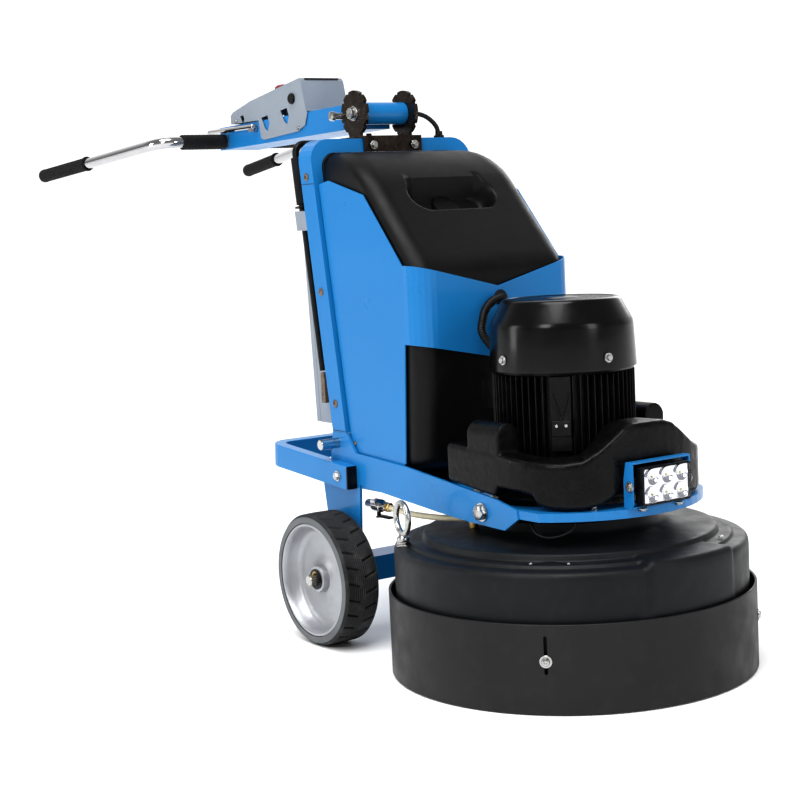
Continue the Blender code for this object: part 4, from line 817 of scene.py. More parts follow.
# ---------------------------------------------------------------- work lamp
def make_lamp():
    """LED lamp: six reflectors behind a clear lens in a finned black housing."""
    y, z0, z1 = 0.060, 0.353, 0.423
    case = box((0.262, -y, z0), (0.2778, y, z1))
    add("lamp_case", case, BLACK, "lamp", bevel=0.003, slot="black_plastic", stands_for=["lamp_housing"])
    rim = []
    inner = []
    for cy, cz, start in ((y - 0.007, z1 - 0.007, 0), (-y + 0.007, z1 - 0.007, 90),
                          (-y + 0.007, z0 + 0.007, 180), (y - 0.007, z0 + 0.007, 270)):
        rim += arc(cy, cz, 0.0075, start, start + 90, 6)
        inner += arc(cy, cz, 0.0035, start, start + 90, 6)
    bm = bmesh.new()
    rings = []
    for outline, x in ((rim, 0.2750), (rim, 0.2812), (inner, 0.2822), (inner, 0.2760)):
        rings.append([bm.verts.new((x, u, v)) for u, v in outline])
    add("lamp_bezel", skin(bm, rings, closed=True), BLACK, "lamp", bevel=0.0007, slot="black_plastic")
    tray = box((0.2779, -y + 0.0040, z0 + 0.0040), (0.2784, y - 0.0040, z1 - 0.0040))
    for row in (-1, 1):
        for column in (-1, 0, 1):
            spot = (0.2784, column * 0.0355, LAMP_Z + row * 0.0162)
            cup = lathe([(0.0030, 0.0002), (0.0052, 0.0004), (0.0085, 0.0012), (0.0118, 0.0024),
                         (0.0142, 0.0038), (0.0152, 0.0038), (0.0152, 0.0), (0.0030, 0.0)], 32, True,
                        axis="X")
            merge(tray, moved(cup, spot))
    add("lamp_reflectors", tray, MIRROR, "lamp", smooth=60, weld=0)
    chips = bmesh.new()
    for row in (-1, 1):
        for column in (-1, 0, 1):
            spot = (0.2787, column * 0.0355, LAMP_Z + row * 0.0162)
            merge(chips, moved(lathe([(0, 0), (0.0026, 0), (0.0026, 0.0006), (0.0018, 0.0014), (0, 0.0017)],
                                     16, axis="X"), spot))
    add("lamp_chips", chips, LED, "lamp", weld=0)
    lens = box((0.2826, -y + 0.0040, z0 + 0.0040), (0.2832, y - 0.0040, z1 - 0.0040))
    add("lamp_lens", lens, LENS, "lamp", bevel=0.0002)
    fins = bmesh.new()
    for k in range(13):
        at = -y + 0.006 + k * (2 * y - 0.012) / 12
        merge(fins, box((0.2560, at - 0.0011, z0 + 0.004), (0.2625, at + 0.0011, z1 - 0.004)))
    add("lamp_fins", fins, BLACK, "lamp", slot="black_plastic", weld=0)
    for side, sign in SIDES:
        y0, y1 = sorted((sign * 0.0590, sign * 0.0690))
        add(f"lamp_boss_{side}", rod(0.0068, y0, y1, 24, "Y"), BLACK, "lamp", (LAMP_X, 0, LAMP_Z),
            slot="black_plastic")
        add(f"lamp_bolt_{side}", hex_head(0.0072, 0.0048, 0.0100), STEEL, "lamp",
            (LAMP_X, sign * 0.0728, LAMP_Z),
            facing((0, sign, 0)))
    for k, at in enumerate((-0.045, 0.045)):
        add(f"bracket_bolt_{k + 1}", hex_head(0.0070, 0.0045, 0.0098), STEEL, "root", (0.262, at, 0.3465),
            facing((0, 0, -1)))


# ---------------------------------------------------------------- water tank
def tank_outline(z, nose, inset):
    """One level of the tank: round front corners, stepped in beside the mast."""
    half = TANK_Y - inset
    rear = mast_front(z) + 0.003
    rear_half = half - 0.002 if z < 0.95 else min(half - 0.003, 0.1845)
    corner = 0.042
    side = [(rear, rear_half), (rear + 0.016, rear_half + (half - rear_half) * 0.5), (rear + 0.032, half)]
    for step in range(1, 12):
        side.append((rear + 0.032 + (nose - corner - rear - 0.032) * step / 12, half))
    side += arc(nose - corner, half - corner, corner, 90, 0, 14)
    for step in range(1, 40):
        side.append((nose, (half - corner) * (1 - step / 40)))
    return [(x, y) for x, y in side] + [(side[-1][0], 0.0)] + [(x, -y) for x, y in reversed(side)]


def make_tank():
    """Moulded tank: sloped upper front with a hand recess whose rim is rounded."""
    levels = [(0.386, 0.026, 0.012), (0.388, 0.020, 0.008), (0.392, 0.014, 0.004), (0.400, 0.010, 0.001),
              (0.410, 0.009, 0.0), (0.560, 0.0, 0.0), (0.745, 0.0, 0.0), (0.772, 0.0, 0.0),
              (0.783, 0.0025, 0.0), (0.792, 0.0075, 0.0), (0.800, 0.0130, 0.0), (0.810, 0.0210, 0.0),
              (0.958, 0.154, 0.0), (0.972, 0.167, 0.0005), (0.985, 0.181, 0.002), (0.998, 0.198, 0.006),
              (1.008, 0.212, 0.010), (1.017, 0.229, 0.016), (1.024, 0.245, 0.022), (1.029, 0.262, 0.029),
              (1.032, 0.280, 0.037), (1.033, 0.300, 0.044)]
    dense = []
    for (z0, n0, i0), (z1, n1, i1) in zip(levels, levels[1:]):
        count = 60 if z0 == 0.810 else max(1, int((z1 - z0) / 0.012))
        dense += [(z0 + (z1 - z0) * k / count, n0 + (n1 - n0) * k / count, i0 + (i1 - i0) * k / count)
                  for k in range(count)]
    dense.append(levels[-1])
    up = Vector((math.sin(TANK_SLOPE), 0, math.cos(TANK_SLOPE)))
    along = Vector((math.cos(TANK_SLOPE), 0, -math.sin(TANK_SLOPE)))
    bm = bmesh.new()
    rows = []
    for z, back, inset in dense:
        row = []
        for x, y in tank_outline(z, TANK_FRONT - back, inset):
            point = Vector((x, y, z))
            local = point - MOUTH
            u, w = local.dot(along), local.dot(up)
            if abs(w) < 0.03 and abs(u) < 0.07:
                gap = math.hypot(u, max(0.0, abs(y) - 0.068)) - 0.040
                depth = 0.0445 * (1.0 - ease((gap + 0.014) / 0.018))
                point -= up * depth
            row.append(bm.verts.new(point))
        rows.append(row)
    add("tank_moulding", skin(bm, rows, caps=True), PLASTIC, "root", smooth=60, stands_for=["water_tank"])
    bm = bmesh.new()
    outline = [(-0.1860, 0.800), (0.1860, 0.800)] + arc(0.1525, 1.0018, 0.0335, 0, 90, 10)
    outline += arc(-0.1525, 1.0018, 0.0335, 90, 180, 10)
    rows = [[bm.verts.new((mast_front(z) + offset, y, z)) for y, z in outline]
            for offset in (-0.006, 0.0035)]
    add("tank_back", skin(bm, rows, caps=True), PLASTIC, "root", smooth=30, bevel=0.002)
    cap = lathe([(0, 0), (0.0290, 0), (0.0310, 0.0012), (0.0310, 0.0100), (0.0295, 0.0122), (0.0230, 0.0134),
                 (0.0120, 0.0126), (0, 0.0126)], 48)
    for k in range(24):
        rib = box((0.0300, -0.0013, 0.0018), (0.0323, 0.0013, 0.0104))
        merge(cap, moved(rib, turn=(0, 0, math.tau * k / 24)))
    merge(cap, moved(lathe([(0, -0.024), (0.0235, -0.024), (0.0235, 0.001), (0, 0.001)], 40)))
    add("filler_cap", cap, BLACK, "tank_cap", MOUTH - up * MOUTH_DEPTH, (0, TANK_SLOPE, 0), smooth=40,
        stands_for=["tank_cap"], slot="black_plastic", weld=0)


# ---------------------------------------------------------------- wheels
def make_wheels():
    """Solid tyres with staggered slanted grooves, on dished steel hubs."""
    middle = (WHEEL_IN + WHEEL_OUT) / 2
    half = (WHEEL_OUT - WHEEL_IN) / 2
    section = [(RIM_R + 0.0004, -half), (0.1280, -half), (0.1330, -half + 0.0006), (0.1365, -half + 0.0030)]
    tread = [-half + 0.0060 + (2 * half - 0.0120) * k / 30 for k in range(31)]
    grooves = 26
    for side, sign in SIDES:
        bm = bmesh.new()
        rows = []
        steps = 520
        for i in range(steps):
            angle = math.tau * i / steps
            ring = list(section)
            for v in tread:
                offset = 0.0 if v < 0 else 0.5
                slant = abs(v) * 10.0
                phase = (angle / math.tau * grooves + offset + slant) % 1.0
                groove = ease((0.085 - abs(phase - 0.5)) / 0.04) * ease((abs(v) - 0.0045) / 0.003)
                groove *= ease((0.0355 - abs(v)) / 0.003)
                middle_cut = 0.35 * ease((0.0010 - abs(v % 0.0046 - 0.0023)) / 0.0008)
                crown = 0.0009 * (v / half) ** 2
                ring.append((WHEEL_R - crown - 0.0042 * max(groove, middle_cut), v))
            ring += [(r, -v) for r, v in reversed(section)]
            rows.append([bm.verts.new((r * math.cos(angle), v, r * math.sin(angle))) for r, v in ring])
        skin(bm, rows, closed=True)
        turn = (0, 0, 0) if sign > 0 else (0, 0, math.pi)
        at = (WHEEL_X, sign * middle, WHEEL_R)
        add(f"tyre_{side}", bm, RUBBER, f"wheel_{side}", at, turn, smooth=40,
            stands_for=[f"wheel_tire_{side}"])
        for k, face in enumerate((-half, half)):
            flank = lathe([(RIM_R + 0.0008, -0.0004), (0.1290, -0.0004), (0.1338, 0.0002), (0.1338, 0.0010),
                           (RIM_R + 0.0008, 0.0010)], 160, True)
            spin = facing((0, -1 if k else 1, 0))
            add(f"flank_{side}_{k}", moved(flank, (0, face, 0), spin), FLANK, f"wheel_{side}", at, turn)
        face = half - 0.0008
        hub = [(0.0125, -half + 0.008), (0.022, -half + 0.008), (0.026, -0.010), (0.034, -0.004),
               (0.090, -0.002), (0.100, -0.008), (0.108, -half + 0.003), (0.112, -half + 0.001),
               (RIM_R, -half + 0.001), (RIM_R, face - 0.001), (RIM_R - 0.001, face), (RIM_R - 0.0050, face),
               (RIM_R - 0.0068, face - 0.0022), (0.1105, half - 0.012), (0.1060, 0.0120), (0.1010, 0.0065),
               (0.0930, 0.0040), (0.0560, 0.0052), (0.0350, 0.0085), (0.0300, 0.0130), (0.0285, half - 0.018),
               (0.0272, half - 0.0145), (0.0255, half - 0.014), (0.0125, half - 0.014)]
        add(f"hub_{side}", lathe(hub, 120, True, "Y"), HUB_STEEL, f"wheel_{side}", at, turn, smooth=38,
            stands_for=[f"wheel_hub_{side}"])
        ring = lathe([(0.0128, 0), (0.0215, 0), (0.0218, 0.0005), (0.0218, 0.0024), (0.0128, 0.0024)], 40,
                     True)
        end = sign * (middle + half - 0.0135)
        out = facing((0, sign, 0))
        add(f"axle_washer_{side}", ring, BLACK, "root", (WHEEL_X, end, WHEEL_R), out)
        pin = [Vector((0, 0, t)) for t in (-0.019, -0.008, 0.008, 0.019)]
        bent = pin + [Vector((0.003, 0, 0.024)), Vector((0.008, 0, 0.025))]
        add(f"cotter_pin_{side}", pipe(smooth_path(bent, 18), 0.0016, 10), BRASS, "root",
            (WHEEL_X, sign * (middle + half - 0.0015), WHEEL_R), (0, 0.5, 0))
        boss = lathe([(0, 0), (0.0118, 0), (0.0120, 0.0140), (0.0108, 0.0155), (0.0040, 0.0155),
                      (0.0030, 0.0140), (0, 0.0140)], 36)
        add(f"axle_end_{side}", boss, RUSTY, "root", (WHEEL_X, end + sign * 0.0030, WHEEL_R), out)


# ---------------------------------------------------------------- frame details
def bolt_on(name, at, direction, radius, mat=STEEL, height=0.0055, body="root"):
    """A hexagon bolt head on its washer."""
    add(name, hex_head(radius, height, radius * 1.35), mat, body, at, facing(direction), slot="steel")


def make_frame_details():
    """Bolts, pins, plugs and seams of the frame and the mast."""
    for side, sign in SIDES:
        y = sign * FRAME_Y
        pivot = lathe([(0, 0), (0.0172, 0), (0.0178, 0.0006), (0.0178, 0.0026), (0, 0.0026)], 36)
        merge(pivot, moved(hex_head(0.0150, 0.0100), (0, 0, 0.0026)))
        add(f"pivot_head_{side}", pivot, STEEL, "root", (0, y + sign * 0.0004, PIVOT_Z), facing((0, sign, 0)),
            stands_for=[f"pivot_bolt_{side}"], weld=0)
        pin = lathe([(0, 0), (0.0110, 0), (0.0110, 0.0440), (0.0098, 0.0452), (0, 0.0452)], 28)
        add(f"side_pin_{side}", pin, CHROME, "root", (-0.498, y, 0.421), facing((0, sign, 0)))
        plug = box((-0.4335, min(y + sign * 0.0005, y + sign * 0.0250), 0.3295),
                   (-0.4285, max(y + sign * 0.0005, y + sign * 0.0250), 0.3785))
        add(f"bumper_plug_{side}", plug, BLACK, "root", bevel=0.0018, slot="black_plastic")
        outer = sign * (FRAME_Y + 0.0256)
        bolt_on(f"bumper_bolt_{side}", (-0.4660, outer, 0.3560), (0, sign, 0), 0.0085)
        for k, z in enumerate((0.986, 0.742, 0.505)):
            rim = lathe([(0, 0), (0.0086, 0), (0.0086, 0.0010), (0.0062, 0.0030), (0.0030, 0.0034),
                         (0.0024, 0.0016), (0, 0.0016)], 28)
            add(f"mast_screw_{side}_{k + 1}", rim, RUSTY, "root", (mast_rear(z) + 0.0245, y, z),
                facing((0, sign, 0)))
        small = lathe([(0, 0), (0.0050, 0), (0.0046, 0.0018), (0.0020, 0.0026), (0, 0.0026)], 20)
        add(f"wrap_screw_{side}", small, RUSTY, "root", (mast_front(0.424) + 0.020, sign * 0.2036, 0.424),
            facing((0, sign, 0)))
    for side, sign in SIDES:
        for k, z in enumerate((0.971, 0.4475)):
            strip = box((mast_rear(z) + 0.0006, min(sign * 0.2119, sign * 0.2124), z - 0.0006),
                        (mast_front(z) - 0.0006, max(sign * 0.2119, sign * 0.2124), z + 0.0006))
            add(f"mast_seam_{side}_{k + 1}", strip, CABLE, "root", slot="blue_paint")
    for k, y in enumerate((-0.054, 0.054)):
        bolt_on(f"bracket_screw_{k + 1}", (mast_front(1.05) + 0.0118, y, 1.050), (1, 0, 0), 0.0070,
                height=0.0045)
        bolt_on(f"bracket_top_screw_{k + 1}", (-0.575, y * 0.78, 1.0708), (0, 0, 1), 0.0060, BRONZE, 0.0045)
    for k, (x, y) in enumerate(((0.205, -0.112), (0.205, 0.112), (-0.060, -0.190), (-0.060, 0.190))):
        bolt_on(f"deck_bolt_{k + 1}", (x, y, 0.3462), (0, 0, 1), 0.0070)


def make_water():
    """Fittings of the valve, and the hose, freed from any body, with its elbow on the head."""
    disc = lathe([(0, -0.0012), (0.0088, -0.0012), (0.0092, 0.0), (0.0092, 0.0008), (0, 0.0008)], 28,
                 axis="X")
    add("valve_end_disc", disc, BLUE, "root", (-0.4240, VALVE_Y, VALVE_Z))
    stub = lathe([(0, 0.0), (0.0022, 0.0), (0.0022, 0.005), (0.0034, 0.0055), (0.0034, 0.008), (0, 0.008)],
                 14, axis="X")
    add("valve_end_nub", stub, BRASS, "root", (-0.4330, VALVE_Y, VALVE_Z))
    barrel = lathe([(0.0030, 0.0004), (0.0096, 0.0004), (0.0100, 0.0020), (0.0100, 0.0240), (0.0106, 0.0256),
                    (0.0130, 0.0270), (0.0130, 0.0510), (0.0110, 0.0525), (0.0090, 0.0535), (0.0090, 0.0600),
                    (0.0100, 0.0610), (0.0100, 0.0690), (0.0086, 0.0700), (0.0030, 0.0700)], 40, True, "X")
    add("valve_body", barrel, CHROME, "root", (-0.424, VALVE_Y, VALVE_Z), stands_for=["water_valve"])
    knurl = bmesh.new()
    for k in range(30):
        rib = box((-0.3960, -0.0009, 0.0126), (-0.3760, 0.0009, 0.0138))
        merge(knurl, moved(rib, (0, VALVE_Y, VALVE_Z), (math.tau * k / 30, 0, 0)))
    add("valve_knurl", knurl, CHROME, "root", weld=0)
    add("valve_stud", box((-0.394, -0.2055, 0.300), (-0.378, -0.198, 0.309)), CHROME, "root", bevel=0.0008)
    nut = moved(hex_head(0.0068, 0.0040), (-0.386, VALVE_Y, 0.2700))
    add("valve_nut", nut, STEEL, "valve_lever")
    collar = hex_head(0.0102, 0.0120)
    add("hose_nut", collar, BRASS, "root", (-0.3535, VALVE_Y, VALVE_Z), facing((1, 0, 0)))
    route = [(-0.3480, VALVE_Y, VALVE_Z), (-0.320, -0.188, 0.294), (-0.265, -0.183, 0.290),
             (-0.190, -0.176, 0.292), (-0.130, -0.172, 0.298), (-0.095, -0.168, 0.302)]
    hose = add("water_line", pipe(smooth_path(route, 70), 0.0061, 20), HOSE, "root", smooth=80,
               stands_for=["water_hose"])
    loosen(hose)
    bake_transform(hose)
    elbow = merge(rod(0.0088, -0.006, 0.012, 24, "X"), moved(rod(0.0088, -0.018, 0.004, 24), (0.008, 0, 0)))
    add("hose_elbow", elbow, BRASS, "head", (-0.095, -0.168, 0.302), weld=0)


# ---------------------------------------------------------------- behind the mast
def make_rear():
    """Grab handle with foam grips, acorn nuts on its clamps, and fittings of the cabinet."""
    tall, corner, start = 1.060, 0.022, 0.570
    points = []
    for sign in (-1, 1):
        leg = [(mast_rear(z) - GRAB_GAP, sign * GRAB_Y, z)
               for z in [start + (tall - corner - start) * k / 12 for k in range(13)]]
        bend = []
        for y, z in arc(GRAB_Y - corner, tall - corner, corner, 15, 90, 5):
            bend.append((mast_rear(z) - GRAB_GAP, sign * y, z))
        points += leg + bend if sign < 0 else (leg + bend)[::-1]
    path = [Vector(p) for p in points]
    add("grab_bar", pipe(path, 0.0079, 24), BLACK, "root", smooth=80, stands_for=["grab_handle"])
    for side, sign in SIDES:
        grip = [Vector((mast_rear(z) - GRAB_GAP, sign * GRAB_Y, z)) for z in
                [0.930 + 0.100 * k / 40 for k in range(41)]]
        add(f"grab_grip_{side}", pipe(grip, 0.0122, 24, ribs=0.0006, pitch=0.0060), FOAM, "root", smooth=80)
        z = 0.9235
        flange = lathe([(0.0082, -0.0015), (0.0165, -0.0015), (0.0165, 0.0015), (0.0082, 0.0015)], 28, True)
        add(f"grab_flange_{side}", flange, BLACK, "root", (mast_rear(z) - GRAB_GAP, sign * GRAB_Y, z),
            (0, -0.1416, 0))
        nut = hex_head(0.0075, 0.0060, 0.0098)
        merge(nut, moved(lathe([(0.0066, 0.006), (0.0062, 0.0090), (0.0040, 0.0122), (0, 0.0134)], 24)))
        add(f"clamp_nut_{side}", nut, CHROME, "root", (mast_rear(0.894) - 0.0562, sign * GRAB_Y, 0.894),
            facing((-1, 0, -0.14)), weld=0)
        strip = box((mast_rear(0.56) - 0.0490, sign * GRAB_Y - 0.006, 0.500),
                    (mast_rear(0.56) - 0.0340, sign * GRAB_Y + 0.006, 0.566))
        add(f"grab_foot_{side}", strip, RUSTY, "root", bevel=0.0015)

    def back(z):
        """x of the cabinet door's outer face at a height."""
        return -0.626 - 0.045 * (z - 0.452) - 0.0158

    for k, z in enumerate((0.535, 0.790)):
        hinge = rod(0.0052, z - 0.030, z + 0.030, 20)
        add(f"door_hinge_{k + 1}", hinge, STEEL, "root", (back(0.66) - 0.0010, 0.1772, 0))
        leaf = box((back(0.66) + 0.0005, 0.1722, z - 0.026), (back(0.66) + 0.022, 0.1742, z + 0.026))
        add(f"hinge_leaf_{k + 1}", leaf, STEEL, "root", bevel=0.0005)
    latch = merge(rod(0.0135, 0.0, 0.0030, 32), moved(box((-0.004, -0.011, 0.003), (0.004, 0.011, 0.0085))))
    add("door_latch", latch, STEEL, "cabinet_door", (back(0.66) - 0.0002, -0.142, 0.660),
        facing((-1, 0, -0.045)), weld=0)
    for k in range(7):
        z = 0.500 + 0.011 * k
        slat = box((0.0, -0.060, -0.0022), (0.0028, 0.060, 0.0022))
        add(f"door_louvre_{k + 1}", slat, GREY, "cabinet_door", (back(z) - 0.0026, 0.0, z), (0, -0.35, 0),
            bevel=0.0008)
    for k, (y, z) in enumerate([(-0.150, 0.472), (0.150, 0.472), (0.150, 0.846), (-0.150, 0.846)]):
        bolt_on(f"door_screw_{k + 1}", (back(z) + 0.0002, y, z), (-1, 0, -0.045), 0.0042, height=0.003,
                body="cabinet_door")
    for k, y in enumerate((-0.10, -0.05, 0.06)):
        gland = merge(hex_head(0.0125, 0.0080), moved(rod(0.0088, 0.008, 0.0160, 20)))
        add(f"cabinet_gland_{k + 1}", gland, BLACK, "root", (-0.585, y, 0.4522), facing((0, 0, -1)), weld=0)


# ---------------------------------------------------------------- handle
def lid_z(x):
    """Height of the control box's sloping lid."""
    return 1.220 - math.tan(LID) * (-0.829 - x)


def make_handlebar():
    """Chrome bar with foam sleeves on its middle and ribbed grips at the ends."""
    straight = (GRIP_END - GRIP_START) / (GRIP_END.x - GRIP_START.x)
    corner = GRIP_START + straight * (BAR_X - GRIP_START.x)
    before = Vector((BAR_X, 0.188, BAR_Z))
    after = GRIP_START + straight * (BAR_X - 0.052 - GRIP_START.x)
    half = []
    for k in range(17):
        t = k / 16.0
        half.append(before.lerp(corner, t).lerp(corner.lerp(after, t), t))
    last = GRIP_END - straight * (GRIP_END.x - GRIP_START.x) * 0.02
    half += [after.lerp(last, t) for t in (0.33, 0.66, 1.0)]
    right = [Vector((p.x, -p.y, p.z)) for p in half]
    add("handlebar_tube", pipe(right[::-1] + half, BAR_R, 32), CHROME, "handle", smooth=80,
        stands_for=["handlebar"])
    for side, sign in SIDES:
        begin = Vector((GRIP_START.x, sign * GRIP_START.y, GRIP_START.z))
        finish = Vector((GRIP_END.x, sign * GRIP_END.y, GRIP_END.z))
        length = (finish - begin).length
        profile = [(0.0137, -0.0004), (0.0178, -0.0004), (0.0188, 0.0010), (0.0188, 0.0034), (0.0172, 0.0048)]
        step = (length - 0.026) / GRIP_RIBS
        for k in range(GRIP_RIBS):
            z = 0.010 + step * k
            profile += [(0.0160, z), (0.0168, z + step * 0.25), (0.0168, z + step * 0.7),
                        (0.0160, z + step * 0.95)]
        profile += [(0.0170, length - 0.012), (0.0174, length - 0.008), (0.0166, length - 0.002),
                    (0.0130, length), (0, length)]
        add(f"grip_{side}", lathe(profile, 36), FOAM, "handle", begin, facing(finish - begin), smooth=50,
            stands_for=[f"hand_grip_{side}"])
        y0, y1 = sorted((sign * 0.061, sign * 0.180))
        sleeve = [(0.0137, y0), (0.0176, y0), (0.0184, y0 + 0.0012)]
        for k in range(1, 24):
            sleeve.append((0.0184 - 0.0004 * (k % 2), y0 + (y1 - y0) * k / 24))
        sleeve += [(0.0184, y1 - 0.0012), (0.0176, y1), (0.0137, y1)]
        add(f"bar_sleeve_{side}", lathe(sleeve, 32, True, "Y"), FOAM, "handle", (BAR_X, 0, BAR_Z))


def make_box_details():
    """Bushings, screws, a gland and trim on the control box."""
    for k, (x, y, z) in enumerate(((-1.128, 0.020, 1.1702), (-0.985, 0.018, lid_z(-0.985)))):
        nut = lathe([(0.0042, 0.0), (0.0086, 0.0), (0.0090, 0.0008), (0.0090, 0.0016), (0.0066, 0.0018),
                     (0.0064, 0.0054), (0.0042, 0.0056)], 24, True)
        add(f"toggle_nut_{k + 1}", nut, STEEL, "handle", (x, y, z - 0.0002), (0, -LID, 0))
    for k, (x, y, z) in enumerate(((-1.128, 0.020, 1.1722), (-0.985, 0.018, 1.1992))):
        boot = lathe([(0, -0.0010), (0.0062, -0.0010), (0.0060, 0.0030), (0.0044, 0.0070), (0.0040, 0.0085),
                      (0.0034, 0.0090), (0.0040, 0.0210), (0.0044, 0.0245), (0.0036, 0.0268),
                      (0, 0.0272)], 20)
        add(f"toggle_boot_{k + 1}", boot, CABLE, f"toggle_{k + 1}", (x, y, z),
            (0, -0.36 if k == 0 else -0.20, 0), stands_for=[f"toggle_{k + 1}"], slot="black_plastic")
    x, y = -0.955, -0.028
    ring = lathe([(0.0100, 0), (0.0196, 0), (0.0202, 0.0006), (0.0202, 0.0016), (0.0100, 0.0022)], 40, True)
    add("stop_button_ring", ring, STEEL, "handle", (x, y, lid_z(x) - 0.0002), (0, -LID, 0))
    x, y = -1.030, -0.022
    ring = lathe([(0.0120, 0), (0.0150, 0), (0.0152, 0.0006), (0.0146, 0.0024), (0.0120, 0.0026)], 36, True)
    add("start_button_ring", ring, STEEL, "handle", (x, y, lid_z(x) - 0.0002), (0, -LID, 0))
    for k, (x, z) in enumerate(((-1.128, 1.143), (-0.838, 1.106))):
        for side, sign in SIDES:
            bolt_on(f"box_screw_{side}_{k + 1}", (x, sign * 0.0586, z), (0, sign, 0), 0.0042, height=0.0028,
                    body="handle")
    gland = lathe([(0.0, 0), (0.0125, 0), (0.0125, 0.0040), (0.0095, 0.0070), (0, 0.0070)], 32)
    add("box_gland", gland, BLACK, "handle", (-0.862, -0.0586, 1.176), facing((0, -1, 0)))
    strip = box((-0.826, -0.046, 0), (-0.822, 0.046, 0.0032))
    add("lid_gasket", moved(strip, (0, 0, 1.2165)), BLACK, "handle", bevel=0.0006)
    for k, (x, y) in enumerate(((-0.840, -0.050), (-0.840, 0.050), (-1.048, -0.050), (-1.048, 0.050))):
        spot = (x, y, lid_z(x))
        add(f"lid_screw_{k + 1}", screw_head(0.0038, 0.0018), STEEL, "handle", spot, (0, -LID, 0))


def make_pivot_details():
    """Ends of the handle's hub bolt, its blue tube and the control lead."""
    for side, sign in SIDES:
        end = lathe([(0, 0), (0.0150, 0), (0.0156, 0.0008), (0.0156, 0.0030), (0.0118, 0.0032),
                     (0.0114, 0.0108), (0.0100, 0.0118), (0, 0.0118)], 6 if sign < 0 else 32)
        washer = rod(0.0165, -0.0008, 0.0004, 32, chamfer=0.0003)
        add(f"hub_end_{side}", merge(end, washer), STEEL, "root", (HUB[0], sign * 0.0702, HUB[1]),
            facing((0, sign, 0)), weld=0, smooth=30)
    hub = lathe([(0.0086, -0.0602), (0.0236, -0.0602), (0.0242, -0.0596), (0.0242, 0.0596), (0.0236, 0.0602),
                 (0.0086, 0.0602)], 64, True, "Y")
    add("hub_tube", hub, BLUE, "handle", (HUB[0], 0, HUB[1]))
    route = [(HUB[0], 0.0810, HUB[1]), (HUB[0], 0.098, 1.1205), (HUB[0] + 0.004, 0.124, 1.112),
             (HUB[0] + 0.010, 0.144, 1.092), (HUB[0] + 0.012, 0.150, MAST_TOP + 0.0025)]
    add("control_lead", pipe(smooth_path(route, 60), 0.0052, 18), CABLE, "root", smooth=80,
        stands_for=["control_cable"])
    gland = lathe([(0, 0), (0.0120, 0), (0.0120, 0.006), (0.0085, 0.008), (0.0080, 0.016), (0, 0.016)], 24)
    add("lead_gland", gland, BLACK, "root", (HUB[0] + 0.012, 0.150, MAST_TOP - 0.0010))


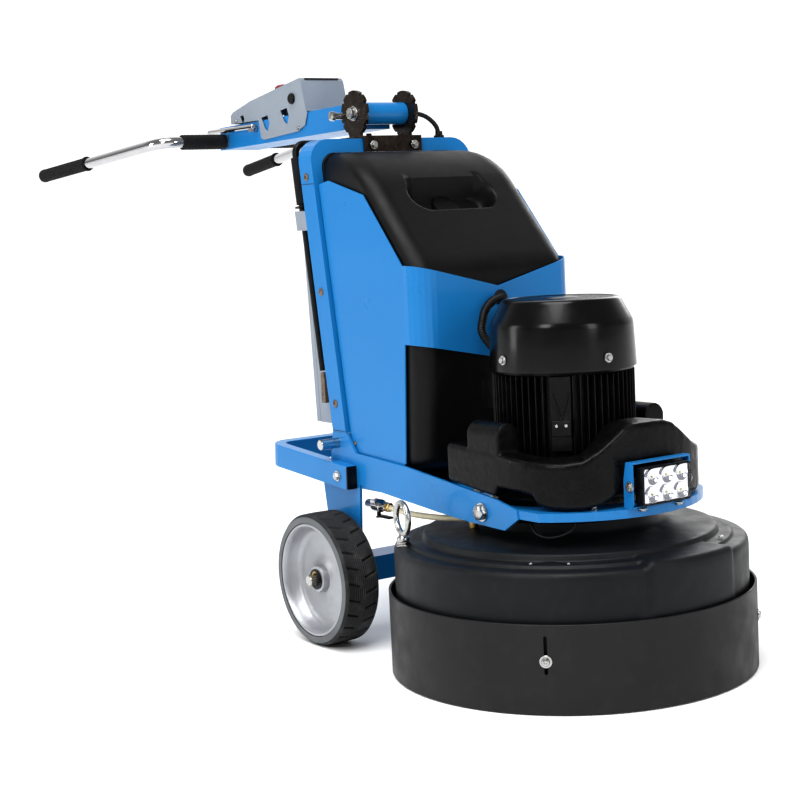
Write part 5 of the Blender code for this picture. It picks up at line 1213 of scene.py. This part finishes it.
# ---------------------------------------------------------------- camera, light and floor
def make_stage():
    """Flat pale floor, soft boxes, and a long-lens camera at the front right."""
    bm = bmesh.new()
    rows = [[bm.verts.new((x, y, 0.0)) for y in (-FLOOR, FLOOR)] for x in (-FLOOR, 0.0, FLOOR)]
    for a, b in zip(rows, rows[1:]):
        bm.faces.new((a[0], a[1], b[1], b[0]))
    mesh = bpy.data.meshes.new("floor")
    bm.to_mesh(mesh)
    bm.free()
    mat, shader = shader_of("floor", 0.75, color=(0.96, 0.96, 0.96))
    tree = mat.node_tree
    tree.links.new(grade(tree, noise(tree, 3.0, 3.0), 0.70, 0.85), shader.inputs["Roughness"])
    mesh.materials.append(mat)
    floor = place("floor", mesh)
    floor.location.z = -0.0005

    world = bpy.data.worlds.new("studio")
    world.use_nodes = True
    tree = world.node_tree
    back = tree.nodes["Background"]
    where = tree.nodes.new("ShaderNodeTexCoord")
    toward = tree.nodes.new("ShaderNodeVectorMath")
    toward.operation = "DOT_PRODUCT"
    toward.inputs[1].default_value = (-0.8245, 0.5660, 0.0)
    tree.links.new(where.outputs["Generated"], toward.inputs[0])
    glow = grade(tree, toward.outputs["Value"], 0.26, 1.0, 0.30, 0.80)
    tree.links.new(glow, back.inputs["Strength"])
    back.inputs["Color"].default_value = (1.0, 1.0, 1.0, 1.0)
    bpy.context.scene.world = world
    sun = bpy.data.lights.new("sky_panel", "SUN")
    sun.energy = 2.3
    sun.angle = math.radians(38)
    high = place("sky_panel", sun)
    high.rotation_euler = Vector((-0.22, 0.30, -1.0)).to_track_quat("-Z", "Y").to_euler()
    for name, spot, aim, size, power, spread_x in (
            ("key", (2.0, -3.2, 2.6), (0.5, 0.0, 0.5), 1.0, 45.0, 1.8),
            ("side", (-1.6, -3.6, 1.5), (0.0, 0.0, 0.6), 0.9, 32.0, 2.4),
            ("front", (4.4, 0.6, 1.7), (0.7, 0.0, 0.5), 0.9, 26.0, 2.0),
            ("rim", (-1.2, 3.2, 2.2), (0.3, 0.0, 0.5), 1.4, 30.0, 1.5)):
        data = bpy.data.lights.new(name, "AREA")
        data.shape = "RECTANGLE"
        data.size = size
        data.size_y = size * spread_x
        data.energy = power
        lamp = place(name, data)
        lamp.location = spot
        lamp.rotation_euler = (Vector(aim) - Vector(spot)).to_track_quat("-Z", "Y").to_euler()

    azimuth, elevation, roll = math.radians(55.53), math.radians(6.30), math.radians(-2.73)
    back_axis = Vector((math.sin(azimuth) * math.cos(elevation), -math.cos(azimuth) * math.cos(elevation),
                        math.sin(elevation)))
    right = Vector((math.cos(azimuth), math.sin(azimuth), 0.0))
    up = back_axis.cross(right)
    turned_right = right * math.cos(roll) + up * math.sin(roll)
    turned_up = up * math.cos(roll) - right * math.sin(roll)
    data = bpy.data.cameras.new("camera")
    data.lens = 74.73
    data.sensor_width = 36.0
    data.clip_end = 200.0
    camera = place("camera", data)
    pose = Matrix((turned_right, turned_up, back_axis)).transposed().to_4x4()
    pose.translation = Vector((2.4722, -2.0852, 0.8936)) + SHIFT
    camera.matrix_world = pose
    bpy.context.scene.camera = camera
    bpy.context.scene.view_settings.view_transform = "Standard"
    bpy.context.scene.view_settings.look = "Medium High Contrast"


def main():
    """Finish the CAD pieces that show as they are, then make the detailed ones."""
    make_stage()
    for names, mat, bevel in (
            (("chassis_frame", "bumper_bar", "wrap_cover", "lamp_bracket"), BLUE, 0.0014),
            (("mast",), BLUE, 0.0030),
            (("handle_arm",), BLUE, 0.0030),
            (("cabinet", "cabinet_door"), GREY, 0.0020),
            (("control_box", "grab_clamp_left", "grab_clamp_right"), GREY, 0.0016),
            (("motor_drive", "valve_lever"), BLACK, 0.0008),
            (("index_disc_left", "index_disc_right"), BRONZE, 0.0008),
            (("motor_flange", "cooling_fan"), BLACK, 0.0012),
            (("handle_bracket",), BRONZE, 0.0010),
            (("wheel_axle", "motor_bearing", "motor_rotor", "ring_gear", "planet_carrier", "planet_gear_1",
              "planet_gear_2", "planet_gear_3", "hub_bolt", "lock_pin"), STEEL, 0.0),
            (("tool_disc_1", "tool_disc_2", "tool_disc_3"), TOOL, 0.0010),
            (("stop_lever",), CHROME, 0.0006),
            (("speed_knob",), CABLE, 0.0004),
            (("start_button",), GREEN, 0.0006),
            (("emergency_stop",), RED, 0.0010)):
        for name in names:
            keep(name, mat, bevel)
    make_shroud()
    make_skirt()
    make_eye_bolt()
    make_neck()
    make_cowl()
    make_stator()
    make_conduit()
    make_weight()
    make_lamp()
    make_tank()
    make_wheels()
    make_frame_details()
    make_water()
    make_rear()
    make_handlebar()
    make_box_details()
    make_pivot_details()


main()
